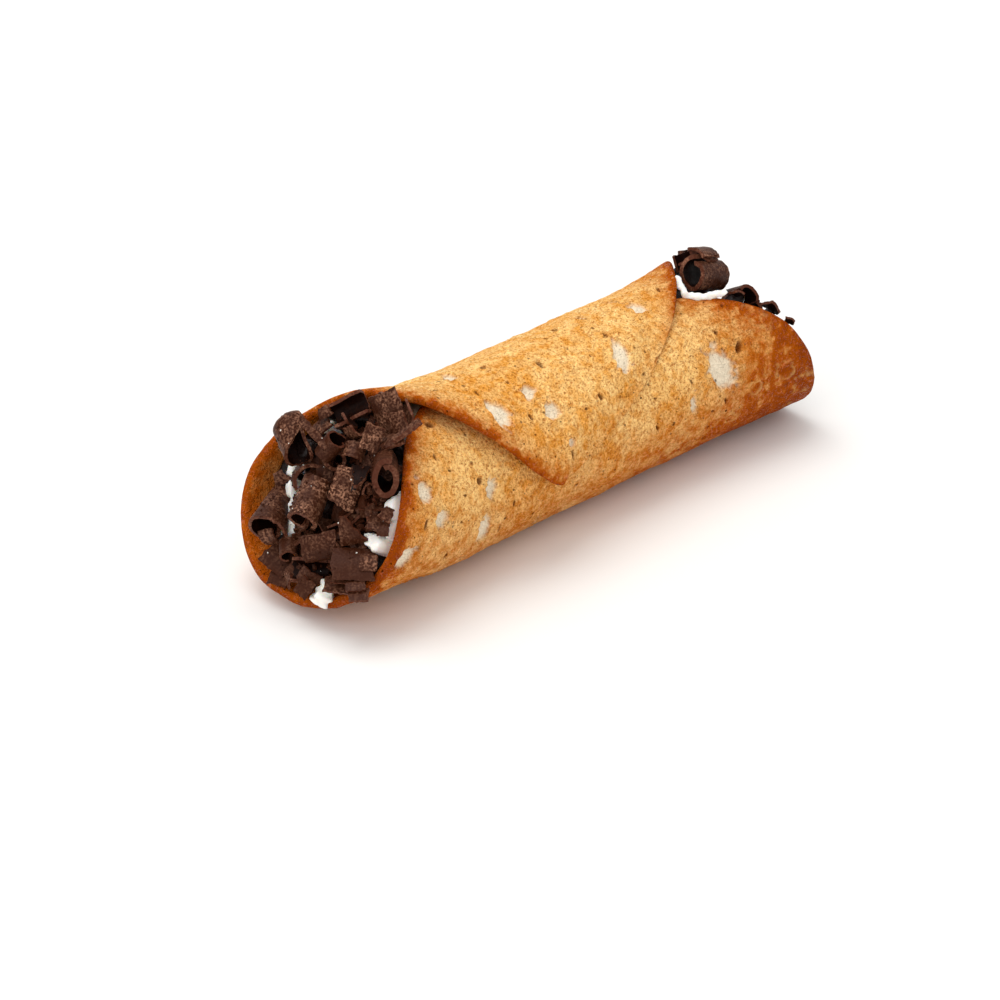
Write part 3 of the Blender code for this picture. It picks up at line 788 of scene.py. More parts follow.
def scraped_chocolate(name, base, dust, share, roughness, shine, relief):
    """Dark chocolate as the knife left it: scrape lines run round each curl, and dust of cocoa
    butter bloom lies on the outer face in fine grains. How much pale dust a curl gets is also
    painted light: lit curls are paler."""
    material, tree, shader, place = start_material(name)
    strip = add_node(tree, "ShaderNodeUVMap", uv_map="strip")
    lines = add_node(tree, "ShaderNodeMapping", {"Scale": (0.1, 1.0, 1.0)},
                     {"Vector": strip.outputs[0]})
    scrape = add_node(tree, "ShaderNodeTexNoise", {"Scale": per_metre(0.8), "Detail": 3.0},
                      {"Vector": lines.outputs[0]})
    grains = add_node(tree, "ShaderNodeTexNoise", {"Scale": per_metre(0.45), "Detail": 4.0},
                      {"Vector": place})
    patches = add_node(tree, "ShaderNodeTexNoise", {"Scale": per_metre(3.5), "Detail": 2.0},
                       {"Vector": place})
    both = add_node(tree, "ShaderNodeMath", {1: 0.45},
                    {0: scrape.outputs["Fac"], 2: grains.outputs["Fac"]},
                    operation="MULTIPLY_ADD")
    tone = add_node(tree, "ShaderNodeMapRange", {1: 0.66, 2: 0.94, 3: 0.0, 4: share},
                    {0: both.outputs[0]})
    patch = add_node(tree, "ShaderNodeMapRange", {1: 0.36, 2: 0.64, 3: 0.1, 4: 1.0},
                     {0: patches.outputs["Fac"]})
    patched = add_node(tree, "ShaderNodeMath", {}, {0: tone.outputs[0], 1: patch.outputs[0]},
                       operation="MULTIPLY")
    # painted light: the per-curl dust amount, mixed with the bloom, makes lit curls paler
    dust_and_light = add_node(tree, "ShaderNodeAttribute", attribute_name="dust").outputs["Fac"]
    amount = add_node(tree, "ShaderNodeMath", {}, {0: patched.outputs[0], 1: dust_and_light},
                      operation="MULTIPLY", use_clamp=True)
    mixed = add_node(tree, "ShaderNodeMix", {6: base, 7: dust}, {0: amount.outputs[0]},
                     data_type="RGBA")
    tree.links.new(mixed.outputs[2], shader.inputs["Base Color"])
    shader.inputs["Roughness"].default_value = roughness
    shader.inputs["Specular IOR Level"].default_value = shine
    line_bump = add_node(tree, "ShaderNodeBump", {"Strength": 0.25, "Distance": relief},
                         {"Height": scrape.outputs["Fac"]})
    grain_bump = add_node(tree, "ShaderNodeBump", {"Strength": 0.6, "Distance": relief},
                          {"Height": grains.outputs["Fac"], "Normal": line_bump.outputs[0]})
    tree.links.new(grain_bump.outputs[0], shader.inputs["Normal"])
    return material


def chocolate_faces(settings):
    """Materials of a shaving's outer face, inner face and broken edge, made once. The inner face is
    dark partly as painted shade in the curls' hollows.
    """
    names = ("chocolate_outer", "chocolate_inner", "chocolate_edge")
    if names[0] not in bpy.data.materials:
        scraped_chocolate(names[0], settings.dusty, settings.bloom, 1.0, 0.45, 0.1, 0.2 * MM)
        scraped_chocolate(names[1], settings.inner, settings.dusty, 0.5, 0.4, 0.05, 0.1 * MM)
        scraped_chocolate(names[2], settings.edge, settings.bloom, 0.9, 0.5, 0.1, 0.15 * MM)
    return [bpy.data.materials[name] for name in names]


# ---------------------------------------------------------------- cream

def bore_radius(turn, x, wall):
    """Free radius inside the pastry in this direction (turn in 0..360)."""
    outer_turn = turn - 360.0 if turn > 210.0 else turn
    inner_turn = turn - 360.0
    wide = outer_radius(outer_turn, x)
    narrow = outer_radius(inner_turn, x)
    under_inner_lap = smooth(1.45, 1.12, past_edge(inner_turn, x)) if turn < 300.0 else 0.0
    radius = wide + (narrow - wide) * under_inner_lap - wall - CREAM_GAP
    open_roof = smooth(1.02, 1.25, past_edge(outer_turn, x)) * (1.0 - under_inner_lap)
    return radius + HEAP_CROWN * open_roof


def heap_x(side, height):
    """X of the heap's face at this height."""
    return side * (HEAP_FOOT - HEAP_LEAN * (height / HEAP_HEIGHT) ** HEAP_CURVE)


def cream_point(corner, wall):
    """Map a point of the surface of the cube (-1..1) to the cream's surface."""
    a = corner.y * math.sqrt(1.0 - corner.z ** 2 / 2.0)
    b = corner.z * math.sqrt(1.0 - corner.y ** 2 / 2.0)
    reach = math.hypot(a, b)
    turn = math.degrees(math.atan2(b, a)) % 360.0
    angle = math.radians(turn)
    x = corner.x * (HEAP_FOOT - HEAP_LEAN / 2.0)
    for _ in range(6):
        radius = reach * bore_radius(turn, x, wall)
        height = axis_height(x) + radius * math.sin(angle)
        ends = heap_x(-1, max(height, 0.0)), heap_x(1, max(height, 0.0))
        x = ends[0] + (ends[1] - ends[0]) * (corner.x + 1.0) / 2.0
    if abs(corner.x) > 0.999:
        lumps = noise.noise(Vector((x, radius * math.cos(angle), height)) / (5 * MM))
        x += corner.x * HEAP_BULGE * (1.0 - reach ** 3) * (1.0 + 0.4 * lumps)
    return Vector((x, radius * math.cos(angle), max(height, wall + CREAM_GAP))), reach


def mouth_frame(side):
    """Frame of a mouth: X across it, Y up its slope, Z straight out of it (side is -1 or 1)."""
    lean = Matrix.Rotation(math.radians(90.0 - MOUTH_LEAN), 4, "X")
    facing = Matrix.Rotation(math.radians(-90.0 if side < 0 else 90.0), 4, "Z")
    return Matrix.Translation((side * MOUTH_X, 0.0, MOUTH_Z)) @ facing @ lean


def dollops_at(side, across, up):
    """Nearest dollop's height and how far this place is from its middle (1 on its edge)."""
    found = (0.0, 9.0)
    for a, b, out, wide, tall in (LEFT_DOLLOPS if side < 0 else RIGHT_DOLLOPS):
        distance = math.hypot((across / MM - a) / wide, (up / MM - b) / tall)
        if distance < found[1]:
            found = (out * MM, distance)
    return found


def mound_at(side, local):
    """Height of the mound that carries a curl here, and how fully this place is part of it."""
    found = (0.0, 0.0)
    for end, *mound in MOUNDS:
        across, up, out, radius = (value * MM for value in mound)
        share = smooth(1.3, 0.8, math.hypot(local.x - across, local.y - up) / radius)
        if end == side and share > found[1]:
            found = (out, share)
    return found


def spooned(place, side, lumps):
    """Push the cream's face out into dollops and spoon marks."""
    mouth = mouth_frame(side)
    local = mouth.inverted() @ place
    rise = lumps * noise.noise(place / (3.2 * MM)) + 0.4 * lumps * noise.noise(place / (1.3 * MM))
    top, distance = dollops_at(side, local.x, local.y)
    distance *= 1.0 + 0.5 * noise.noise(place / (1.4 * MM))
    rise += (top - local.z) * smooth(1.1, 0.55, distance)
    if side < 0:
        across, up, radius, depth = (value * MM for value in RING_HOLLOW)
        rise -= depth * math.exp(-((local.x - across) ** 2 + (local.y - up) ** 2) / radius ** 2)
    out, share = mound_at(side, local)
    rise += max(out - local.z - rise, 0.0) * share
    return mouth.to_3x3() @ Vector((0.0, 0.0, rise))


def cream_rope(points, thick, offset):
    """A lumpy rope of cream with this radius through these points."""
    points = [Vector(point) * MM + offset for point in points]
    rope = bmesh.new()
    bmesh.ops.create_grid(rope, x_segments=60, y_segments=14, size=1.0)
    for vertex in rope.verts:
        share = (vertex.co.x + 1.0) / 2.0 * (len(points) - 1)
        index = min(int(share), len(points) - 2)
        before, after = points[max(index - 1, 0)], points[min(index + 2, len(points) - 1)]
        start, end, part = points[index], points[index + 1], share - index
        middle = start.lerp(end, part)
        along = (end - before).lerp(after - start, part).normalized()
        side = along.cross(Vector((0.0, 0.0, 1.0))).normalized()
        angle = math.pi * vertex.co.y
        around = side * math.cos(angle) + side.cross(along) * math.sin(angle)
        radius = thick * math.sqrt(max(1.0 - vertex.co.x ** 8, 0.0))
        lump = 1.0 + 0.8 * noise.noise((middle + thick * around) / (1.2 * MM))
        vertex.co = middle + radius * lump * around
    bmesh.ops.remove_doubles(rope, verts=rope.verts, dist=0.01 * MM)
    bmesh.ops.recalc_face_normals(rope, faces=rope.faces)
    return rope


class CANNOLI_OT_pastry(bpy.types.Operator):
    """Roll the pastry and raise its blisters"""

    bl_idname = "cannoli.pastry"
    bl_label = "Pastry"

    def execute(self, context):
        settings = context.scene.cannoli.pastry
        offset = frame_offset()
        placed = [Blister("window", t, x, 1.2 * long, 1.2 * wide, angle)
                  for t, x, long, wide, angle in WINDOWS]
        placed += [Blister("ring", *r) for r in RINGS]
        placed += [Blister("pit", *p) for p in PITS]
        blisters = BlisterMap(placed + random_blisters())
        outer = pastry_face(settings, offset, blisters)
        inner = pastry_face(settings, offset)
        mesh = join_sheets("pastry", [outer, inner], 0.02 * MM)
        add_piece("pastry", mesh, [fried_pastry(settings)], "baked_pastry", "pastry_shell")
        return {"FINISHED"}


class CANNOLI_OT_cream(bpy.types.Operator):
    """Fill the tube with cream, heaped in both mouths"""

    bl_idname = "cannoli.cream"
    bl_label = "Cream"

    def execute(self, context):
        settings = context.scene.cannoli.cream
        wall = context.scene.cannoli.pastry.wall
        offset = frame_offset()
        lengths, widths = CREAM_GRID
        cream = bmesh.new()
        bmesh.ops.create_cube(cream, size=2.0)
        along = [e for e in cream.edges if abs(e.verts[0].co.x - e.verts[1].co.x) > 1.0]
        bmesh.ops.subdivide_edges(cream, edges=along, cuts=lengths - 1, use_grid_fill=True)
        across = [e for e in cream.edges if abs(e.verts[0].co.x - e.verts[1].co.x) < 1e-6]
        bmesh.ops.subdivide_edges(cream, edges=across, cuts=widths - 1, use_grid_fill=True)
        crumbed = cream.verts.layers.float.new("crumbed")
        for vertex in cream.verts:
            end = math.copysign(1.0, vertex.co.x) if abs(vertex.co.x) > 0.999 else 0.0
            place, reach = cream_point(vertex.co, wall)
            if end:
                inner = smooth(1.0, 0.92, reach)
                local = mouth_frame(end).inverted() @ place
                # Cream between the curls, and under curls that mounds carry, is marked for
                # darkening: crumbs and painted shade
                carried = end < 0.0 or mound_at(end, local)[1] > 0.0
                share = 1.0 if carried else RIGHT_CRUMBS_AND_SHADE
                vertex[crumbed] = share * smooth(0.75, 1.1, dollops_at(end, local.x, local.y)[1])
                place += inner * spooned(place, end, settings.lumps)
            vertex.co = place + offset
        bmesh.ops.recalc_face_normals(cream, faces=cream.faces)
        ropes = [cream_rope(points, thick, offset)
                 for points, thick in ((CREAM_BAND, BAND_RADIUS), (CREAM_DRIP, DRIP_RADIUS))]
        mesh = join_sheets("cream", [cream] + ropes, 0.001 * MM)
        material = whipped_cream(settings, context.scene.cannoli.chocolate)
        add_piece("cream", mesh, [material], "whipped_cream", "cream_filling")
        return {"FINISHED"}


# ---------------------------------------------------------------- chocolate curls

class Curl:
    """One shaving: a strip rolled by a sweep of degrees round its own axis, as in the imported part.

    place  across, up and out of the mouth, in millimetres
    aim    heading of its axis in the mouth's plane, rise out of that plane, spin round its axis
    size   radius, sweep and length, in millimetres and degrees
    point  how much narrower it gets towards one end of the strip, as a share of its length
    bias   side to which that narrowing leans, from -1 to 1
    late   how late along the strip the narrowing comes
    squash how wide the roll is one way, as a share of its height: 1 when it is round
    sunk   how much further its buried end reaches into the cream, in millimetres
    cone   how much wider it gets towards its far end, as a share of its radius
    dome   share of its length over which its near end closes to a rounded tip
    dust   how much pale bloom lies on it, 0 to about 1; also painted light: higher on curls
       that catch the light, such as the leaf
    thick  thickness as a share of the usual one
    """

    def __init__(self, name, place, aim, size, point=0.0, bias=0.0, late=1.0, squash=1.0,
                 sunk=0.0, cone=0.0, dome=0.0, dust=0.7, thick=1.0):
        self.name = name
        self.sunk = sunk
        self.cone = cone
        self.dome = dome
        self.dust = dust
        self.thick = thick
        self.place = place
        self.aim = aim
        self.radius, self.sweep, self.length = size
        self.point = point
        self.bias = bias
        self.late = late
        self.squash = squash


LEFT_CURLS = (
    Curl("curl_left_tall", (-10.8, 11.6, 8.2), (-41, -8, 65), (2.8, 320, 9.5), 0.7, bias=-1, late=3,
         dust=1.1, dome=0.3),
    Curl("curl_left_spiral", (-11.7, -3.5, 4.2), (-56, 31, 0), (2.5, 430, 10.0), cone=0.42),
    Curl("curl_left_barrel", (-0.9, 2.2, 8.3), (-69, 24, 0), (2.5, 330, 9.0), dust=1.0, thick=1.2),
    Curl("curl_left_arch", (-8.8, 6.2, 3.6), (0, 42, -35), (3.4, 165, 4.4)),
    Curl("curl_left_ring", (11.7, 13.3, 4.1), (-14, 42, 120), (3.2, 400, 6.3), squash=0.65,
         dust=0.4, thick=1.6, sunk=3.5),
    Curl("curl_left_hood", (-4.9, 21.2, 1.8), (51, -17, 180), (2.4, 190, 7.2)),
    Curl("curl_left_brow", (4.6, 23.8, 2.1), (-51, -22, 10), (9.0, 50, 8.4), dust=1.0),
    Curl("curl_left_leaf", (4.6, 7.7, 5.5), (95, -4, 40), (5.0, 65, 9.5), 0.3, dust=1.8),
    Curl("curl_left_cradle", (4.9, -5.5, 6.1), (35, -20, 40), (3.4, 110, 7.5), dust=0.4),
    Curl("curl_left_wedge", (9.8, 0.2, 6.4), (35, -16, 40), (9.0, 40, 5.8), 0.8, dust=0.5),
    Curl("curl_left_slab", (12.8, -5.4, 4.9), (24, -34, -20), (8.0, 50, 8.4), dust=0.12),
    Curl("curl_left_cup", (1.4, -10.6, 2.7), (21, -30, 180), (2.2, 170, 7.0)),
    Curl("curl_left_foot", (10.6, -10.6, 4.4), (20, -39, -40), (7.0, 32, 5.0)),
    Curl("curl_left_cob", (3.8, -13.9, 5.2), (70, 4, 20), (4.0, 45, 3.8), dust=0.4),
    Curl("curl_left_heel", (17.2, -10.2, 5.0), (30, -30, -40), (5.0, 40, 3.8), dust=0.4),
    Curl("curl_left_edge", (-7.0, -11.6, 3), (-20, -25, -35), (6.0, 50, 6.0), dust=0.3),
    Curl("curl_left_ribbon", (8.8, 10.7, 7.9), (20, -20, 150), (5.0, 60, 3.8), 0.8),
    Curl("curl_left_quill", (-2.0, 11.0, 3.7), (8, 40, 120), (1.9, 290, 3.8)),
    Curl("curl_left_strip", (-4.6, 14.9, 10.2), (-25, -23, -40), (6.0, 15, 8.5)),
    Curl("curl_left_chip", (6.1, 18.4, 5.4), (-91, -5, -35), (6.0, 34, 5.0), dust=1.6, thick=1.7),
    Curl("curl_left_chunk", (8.7, 19.3, 2.8), (40, -20, -40), (6.0, 34, 4.2), dust=1.2, thick=1.7),
    Curl("curl_left_shard", (12.6, 22.4, 4.3), (57, -10, -30), (6.0, 12, 6.5), thick=1.5),
    Curl("curl_left_nib", (15.3, 6.1, 3.8), (-10, -35, -40), (5.0, 33, 3.0), 0.4),
    Curl("curl_left_dice", (13.6, 3.5, 3.6), (10, -30, -40), (5.0, 34, 3.4)),
    Curl("curl_left_flag", (-9.3, 16.0, 3.2), (60, -15, -30), (5.0, 50, 4.4), 0.3),
)
RIGHT_CURLS = (
    Curl("curl_right_ring", (0.5, 18.6, 2.3), (96, -40, 200), (3.0, 360, 9.0), squash=0.85,
         thick=1.3),
    Curl("curl_right_cap", (2.2, 22.2, 5.2), (98, -40, 0), (3.4, 80, 5.2), dust=1.0),
    Curl("curl_right_thimble", (10.2, 15.8, 5.0), (60, 40, 90), (1.4, 250, 3.4)),
    Curl("curl_right_rim", (-4.4, 12.0, 4.6), (150, 10, 10), (2.4, 160, 7.0), dust=0.15),
    Curl("curl_right_beak", (-11.8, 9.8, 5.4), (150, 10, 0), (5.0, 38, 4.2), 0.6, dust=0.3),
    Curl("curl_right_spiral", (9.5, -2, 4.5), (-62, 25, 0), (2.1, 420, 10.0)),
    Curl("curl_right_barrel", (0.2, 2.7, 6.1), (-20, 10, 0), (2.5, 320, 8.5)),
    Curl("curl_right_leaf", (9, 9, 4.5), (75, 5, 20), (5.0, 80, 8.5), 0.4),
    Curl("curl_right_trough", (-7.5, -2.5, 4), (80, -10, 160), (3.0, 170, 8.0)),
    Curl("curl_right_slab", (-1, -10, 3.5), (10, -15, 10), (7.0, 50, 8.5)),
    Curl("curl_right_foot", (9, -11, 3), (-30, -20, 10), (6.0, 40, 5.5)),
)


LOOSE_LEFT = (
    Curl("loose", (15.4, -4.0, 3.7), (24, -34, -20), (4.0, 50, 3.4), dust=0.9),
    Curl("loose", (-13.9, 3.1, 3.6), (55, -20, 30), (4.0, 40, 3.5), 0.5),
    Curl("loose", (-8.9, 18.7, 4.2), (50, -10, 0), (3.0, 45, 3.3), 0.4),
    Curl("loose", (-5.0, -9.0, 4.2), (-40, 25, 0), (1.5, 330, 4.0)),
    Curl("loose", (-1.6, -11.8, 3.6), (60, 0, 20), (4.0, 40, 3.4), dust=0.2),
    Curl("loose", (1.0, 17.5, 5.0), (30, 20, 60), (2.5, 90, 3.6), 0.3),
    Curl("loose", (3.0, 14.8, 5.2), (110, -20, 30), (2.2, 120, 3.2)),
    Curl("loose", (-2.2, 19.4, 4.4), (-20, 10, 80), (2.6, 70, 3.8), 0.5),
    Curl("loose", (-9.5, -8.5, 4.6), (30, 0, 60), (2.4, 120, 3.6)),
    Curl("loose", (-3.0, -14.0, 3.2), (-30, 10, 30), (3.0, 60, 3.8), 0.3),
    Curl("loose", (8.4, 22.4, 2.6), (-51, -22, 10), (9.0, 34, 6.6), 0.3, dust=1.1),
    Curl("loose", (-1.8, 13.2, 6.7), (60, 10, 0), (2.0, 330, 4.5), dust=0.3),
    Curl("loose", (10.4, 19.9, 3.7), (40, -20, -40), (5.0, 40, 3.8), 0.3, dust=0.6),
    Curl("loose", (15.4, -8.6, 4.9), (30, -30, -40), (5.0, 44, 4.2), 0.3, dust=0.3),
    Curl("loose", (11.4, -8.2, 4.5), (20, -39, -40), (5.0, 50, 4.8), 0.3, dust=0.3),
    Curl("loose", (2.8, -12.2, 4.1), (70, 4, 20), (3.0, 90, 4.2), 0.3, dust=0.2),
    Curl("loose", (-5.6, -14.6, 2.6), (10, -15, -20), (5.0, 46, 4.4), 0.4, dust=0.3),
    Curl("loose", (16.0, 3.4, 3.8), (20, -20, -30), (4.0, 50, 2.6), 0.5, dust=0.2),
    Curl("loose", (9.0, 25.6, 1.6), (-30, 10, 200), (2.4, 90, 4.4)),
    Curl("loose", (9.9, 13.8, 1.6), (76, 0, 228), (8.0, 32, 3.8)),
)
LOOSE_RIGHT = (
    Curl("loose", (1.8, 20.9, 4.9), (98, -40, 0), (3.6, 66, 5.4), 0.3, dust=0.3),
    Curl("loose", (2.1, 21.6, 5.2), (98, -40, 8), (3.8, 50, 4.6), 0.3, dust=0.3),
    Curl("loose", (-15.0, 6.6, 5.6), (120, 10, 20), (3.0, 40, 2.4), 0.5),
    Curl("loose", (-7.2, 16.6, 1.9), (150, 10, 30), (2.6, 60, 3.6), 0.3),
    Curl("loose", (5.4, 18.4, 3.0), (100, -30, 20), (3.6, 60, 5.0), dust=0.3),
    Curl("loose", (8.4, 17.6, 3.2), (60, 30, 60), (2.0, 150, 3.6), dust=0.3),
)


def curl_strip(curl, side, ragged, offset):
    """The curl's middle surface, with ragged ends, in the row frame."""
    arc = math.radians(curl.sweep) * curl.radius * MM
    columns = max(8, round(arc / (0.5 * MM)))
    rows = max(6, round(curl.length / 0.55))
    strip = bmesh.new()
    bmesh.ops.create_grid(strip, x_segments=columns, y_segments=rows, size=1.0)
    uv = strip.loops.layers.uv.new("strip")
    dust_and_light = strip.verts.layers.float.new("dust")
    for face in strip.faces:
        for loop in face.loops:
            loop[uv].uv = (loop.vert.co.x * arc / 2.0, loop.vert.co.y * curl.length * MM / 2.0)
    half_sweep = math.radians(curl.sweep) / 2.0
    radius = curl.radius * MM
    sag = radius * math.sin(half_sweep) / half_sweep
    seed = sum(curl.place)
    for vertex in strip.verts:
        vertex[dust_and_light] = curl.dust
        along, side_share = vertex.co.x, vertex.co.y
        uneven = 1.0 + 0.12 * noise.noise(Vector((2.0 * along, 1.5 * side_share, seed)))
        narrowing = curl.point * ((along + 1.0) / 2.0) ** curl.late
        across = uneven * (1.0 - narrowing) * side_share + curl.bias * narrowing
        chip = noise.noise(Vector((along * arc / (1.3 * MM), 4.0 * math.copysign(1, side_share),
                                   seed)))
        across += 2.0 * ragged / (curl.length * MM) * chip * abs(side_share) ** 3
        across -= (1.0 - side_share) * curl.sunk / curl.length
        end_chip = noise.noise(Vector((side_share * curl.length / 1.4, 9.0 + along, seed)))
        turn = (along + 2.0 * ragged / arc * end_chip * abs(along) ** 3) * half_sweep
        wave = noise.noise(Vector((along * arc, side_share * curl.length * MM / 2.0, seed))
                           / (2.5 * MM))
        reach = radius * (1.0 + curl.cone * side_share) + SPIRAL_PITCH * turn / math.tau
        reach += 0.18 * MM * wave
        if curl.dome:
            closing = max(curl.dome * 2.0 - 1.0 - side_share, 0.0) / (curl.dome * 2.0)
            reach *= math.sqrt(max(1.0 - closing ** 2, 0.02))
        vertex.co = (across * curl.length * MM / 2.0,
                     curl.squash * reach * math.sin(turn), reach * math.cos(turn) - sag)
    bmesh.ops.recalc_face_normals(strip, faces=strip.faces)
    middle = sum((face.normal.dot(Vector((0, face.calc_center_median().y,
                                          face.calc_center_median().z + sag)))
                  for face in strip.faces), 0.0)
    if middle < 0.0:
        bmesh.ops.reverse_faces(strip, faces=strip.faces)
    heading, rise, spin = (math.radians(angle) for angle in curl.aim)
    turned = (Matrix.Rotation(heading, 4, "Z") @ Matrix.Rotation(-rise, 4, "Y")
              @ Matrix.Rotation(spin, 4, "X"))
    place = Matrix.Translation(Vector(curl.place) * MM)
    strip.transform(Matrix.Translation(offset) @ mouth_frame(side) @ place @ turned)
    return strip


def thickened(name, strip, thickness):
    """Mesh of an open strip given its thickness: its outer face, inner face and edge get slots 0
    to 2."""
    mesh = bpy.data.meshes.new(name)
    strip.to_mesh(mesh)
    strip.free()
    for _ in range(3):
        mesh.materials.append(None)
    holder = bpy.data.objects.new(name + "_open", mesh)
    bpy.context.scene.collection.objects.link(holder)
    wall = holder.modifiers.new("Thickness", "SOLIDIFY")
    wall.thickness = thickness
    wall.offset = 0.0
    wall.material_offset = 1
    wall.material_offset_rim = 2
    context = bpy.context.evaluated_depsgraph_get()
    solid = bpy.data.meshes.new_from_object(holder.evaluated_get(context))
    bpy.data.objects.remove(holder)
    solid.name = name
    solid.shade_smooth()
    solid.set_sharp_from_angle(angle=math.radians(45))
    return solid


def make_curls(context, curls, side):
    settings = context.scene.cannoli.chocolate
    offset = frame_offset()
    for curl in curls:
        strip = curl_strip(curl, side, settings.ragged, offset)
        name = curl.name.replace("curl_", "chocolate_")
        mesh = thickened(name, strip, settings.thickness * curl.thick)
        add_piece(name, mesh, chocolate_faces(settings), "dark_chocolate", curl.name)


class CANNOLI_OT_left_curls(bpy.types.Operator):
    """Lay the chocolate curls in the left mouth"""

    bl_idname = "cannoli.left_curls"
    bl_label = "Left curls"

    def execute(self, context):
        make_curls(context, LEFT_CURLS, -1)
        return {"FINISHED"}


class CANNOLI_OT_right_curls(bpy.types.Operator):
    """Lay the chocolate curls in the right mouth"""

    bl_idname = "cannoli.right_curls"
    bl_label = "Right curls"

    def execute(self, context):
        make_curls(context, RIGHT_CURLS, 1)
        return {"FINISHED"}


# ---------------------------------------------------------------- shavings and crumbs

def landing(side):
    """What a flake can fall on in this mouth: a search tree and the name of each face's piece."""
    corners, faces, owners = [], [], []
    prefix = "chocolate_left" if side < 0 else "chocolate_right"
    for piece in bpy.context.scene.objects:
        if piece.name in ("cream", "pastry") or piece.name.startswith(prefix):
            start = len(corners)
            corners.extend(vertex.co.copy() for vertex in piece.data.vertices)
            for face in piece.data.polygons:
                faces.append([start + index for index in face.vertices])
                owners.append(piece.name)
    return BVHTree.FromPolygons(corners, faces), owners


def fall(tree, owners, mouth, across, up):
    """Where a flake dropped straight into the mouth lands: place, normal and the piece's name."""
    start = mouth @ Vector((across, up, 30 * MM))
    place, normal, index, _ = tree.ray_cast(start, -mouth.col[2].to_3d())
    if place is None:
        return None
    return place, normal, owners[index]


def turned_to(normal, draw, tilt):
    """Rotation whose Z is this normal, tilted and turned at random."""
    lean = Vector((draw.gauss(0, tilt), draw.gauss(0, tilt), draw.gauss(0, tilt)))
    aim = (normal + lean).normalized()
    spin = Matrix.Rotation(draw.uniform(0.0, math.tau), 4, "Z")
    return aim.to_track_quat("Z", "Y").to_matrix().to_4x4() @ spin


def add_shaving(sheet, place, length, width, bend, draw):
    """A small curved flake on an open sheet."""
    uv = sheet.loops.layers.uv["strip"]
    dust_and_light, dust = sheet.verts.layers.float["dust"], draw.uniform(0.0, 0.6)
    made = bmesh.ops.create_grid(sheet, x_segments=4, y_segments=2, size=1.0)["verts"]
    seed = draw.uniform(0, 100)
    for face in {face for vertex in made for face in vertex.link_faces}:
        for loop in face.loops:
            loop[uv].uv = (loop.vert.co.x * length / 2.0 + seed, loop.vert.co.y * width / 2.0)
    for vertex in made:
        x = vertex.co.x * length / 2.0 * (1.0 + 0.25 * noise.noise(Vector((vertex.co.y, seed, 0))))
        y = vertex.co.y * width / 2.0 * (1.0 + 0.5 * noise.noise(Vector((vertex.co.x, 0, seed))))
        angle = bend * vertex.co.x / 2.0
        radius = length / max(abs(bend), 0.05)
        hollow = math.copysign(1, bend) * radius * (math.cos(x / radius) - 1.0)
        twist = 0.1 * length * math.sin(angle) * vertex.co.y
        curved = Vector((radius * math.sin(x / radius), y, hollow + twist))
        vertex.co = place @ curved
        vertex[dust_and_light] = dust


def add_crumb(sheet, place, size, draw):
    """A crumb with a few broken faces."""
    made = bmesh.ops.create_icosphere(sheet, subdivisions=1, radius=1.0)["verts"]
    stretch = Vector((draw.uniform(0.6, 1.5), draw.uniform(0.6, 1.2), draw.uniform(0.5, 0.9)))
    for vertex in made:
        shaped = vertex.co * draw.uniform(0.75, 1.2)
        vertex.co = place @ Vector((a * b * size / 2.0 for a, b in zip(shaped, stretch)))


def in_mouth(draw, side):
    """A random place inside the mouth's opening, across and up it, and how near it is to the
    wall."""
    wide, tall, middle = (14.5, 18.0, 3.0) if side < 0 else (13.5, 13.0, -4.0)
    while True:
        across, up = draw.uniform(-wide, wide), draw.uniform(middle - tall, middle + tall)
        outward = math.hypot(across / wide, (up - middle) / tall)
        if outward < 1.0:
            return across * MM, up * MM, outward


def bare(side, across, up, height):
    """True where a flake at this height would hide a dollop from the front."""
    shift_across, shift_up = (0.81, 0.12) if side < 0 else (0.0, 0.0)
    over = height - 2.5 * MM
    _, distance = dollops_at(side, across - shift_across * over, up - shift_up * over)
    return distance < 0.9


class CANNOLI_OT_shavings(bpy.types.Operator):
    """Drop small chocolate shavings between the curls"""

    bl_idname = "cannoli.shavings"
    bl_label = "Shavings"

    def execute(self, context):
        settings = context.scene.cannoli.chocolate
        offset = Matrix.Translation(frame_offset())
        draw = random.Random(SHAVING_SEED)
        sheet = bmesh.new()
        sheet.loops.layers.uv.new("strip")
        sheet.verts.layers.float.new("dust")
        for side, heap_top in HEAP_TOPS:
            mouth = offset @ mouth_frame(side)
            tree, owners = landing(side)
            left = settings.shavings
            while left > 0:
                across, up, outward = in_mouth(draw, side)
                landed = fall(tree, owners, mouth, across, up)
                if landed is None or landed[2] == "pastry":
                    left -= 0.2
                    continue
                place, _, owner = landed
                depth = (mouth.inverted() @ place).z
                top = heap_top * (1.0 - outward ** 4)
                on_curl = owner != "cream"
                if depth > top or (on_curl and draw.random() < 0.85):
                    left -= 0.2
                    continue
                length = draw.uniform(1.6, 4.2) * MM * (0.45 if on_curl else 1.2 - 0.5 * outward)
                width = length * draw.uniform(0.35, 0.8)
                lift = 0.3 * MM if on_curl else draw.uniform(0.2 * MM, top - depth)
                tilt = 0.2 if on_curl else 0.6
                bend = draw.uniform(-2.4, 2.4)
                turned = turned_to(mouth.col[2].to_3d(), draw, tilt)
                if not bare(side, across, up, depth + lift):
                    spot = Matrix.Translation(place + lift * mouth.col[2].to_3d())
                    add_shaving(sheet, spot @ turned, length, width, bend, draw)
                left -= 1
        for side, loose in ((-1, LOOSE_LEFT), (1, LOOSE_RIGHT)):
            for curl in loose:
                mesh = bpy.data.meshes.new(curl.name)
                strip = curl_strip(curl, side, settings.ragged, frame_offset())
                strip.to_mesh(mesh)
                strip.free()
                sheet.from_mesh(mesh)
        bmesh.ops.recalc_face_normals(sheet, faces=sheet.faces)
        mesh = thickened("shavings", sheet, SHAVING_THICKNESS)
        add_piece("shavings", mesh, chocolate_faces(settings), "dark_chocolate")
        return {"FINISHED"}


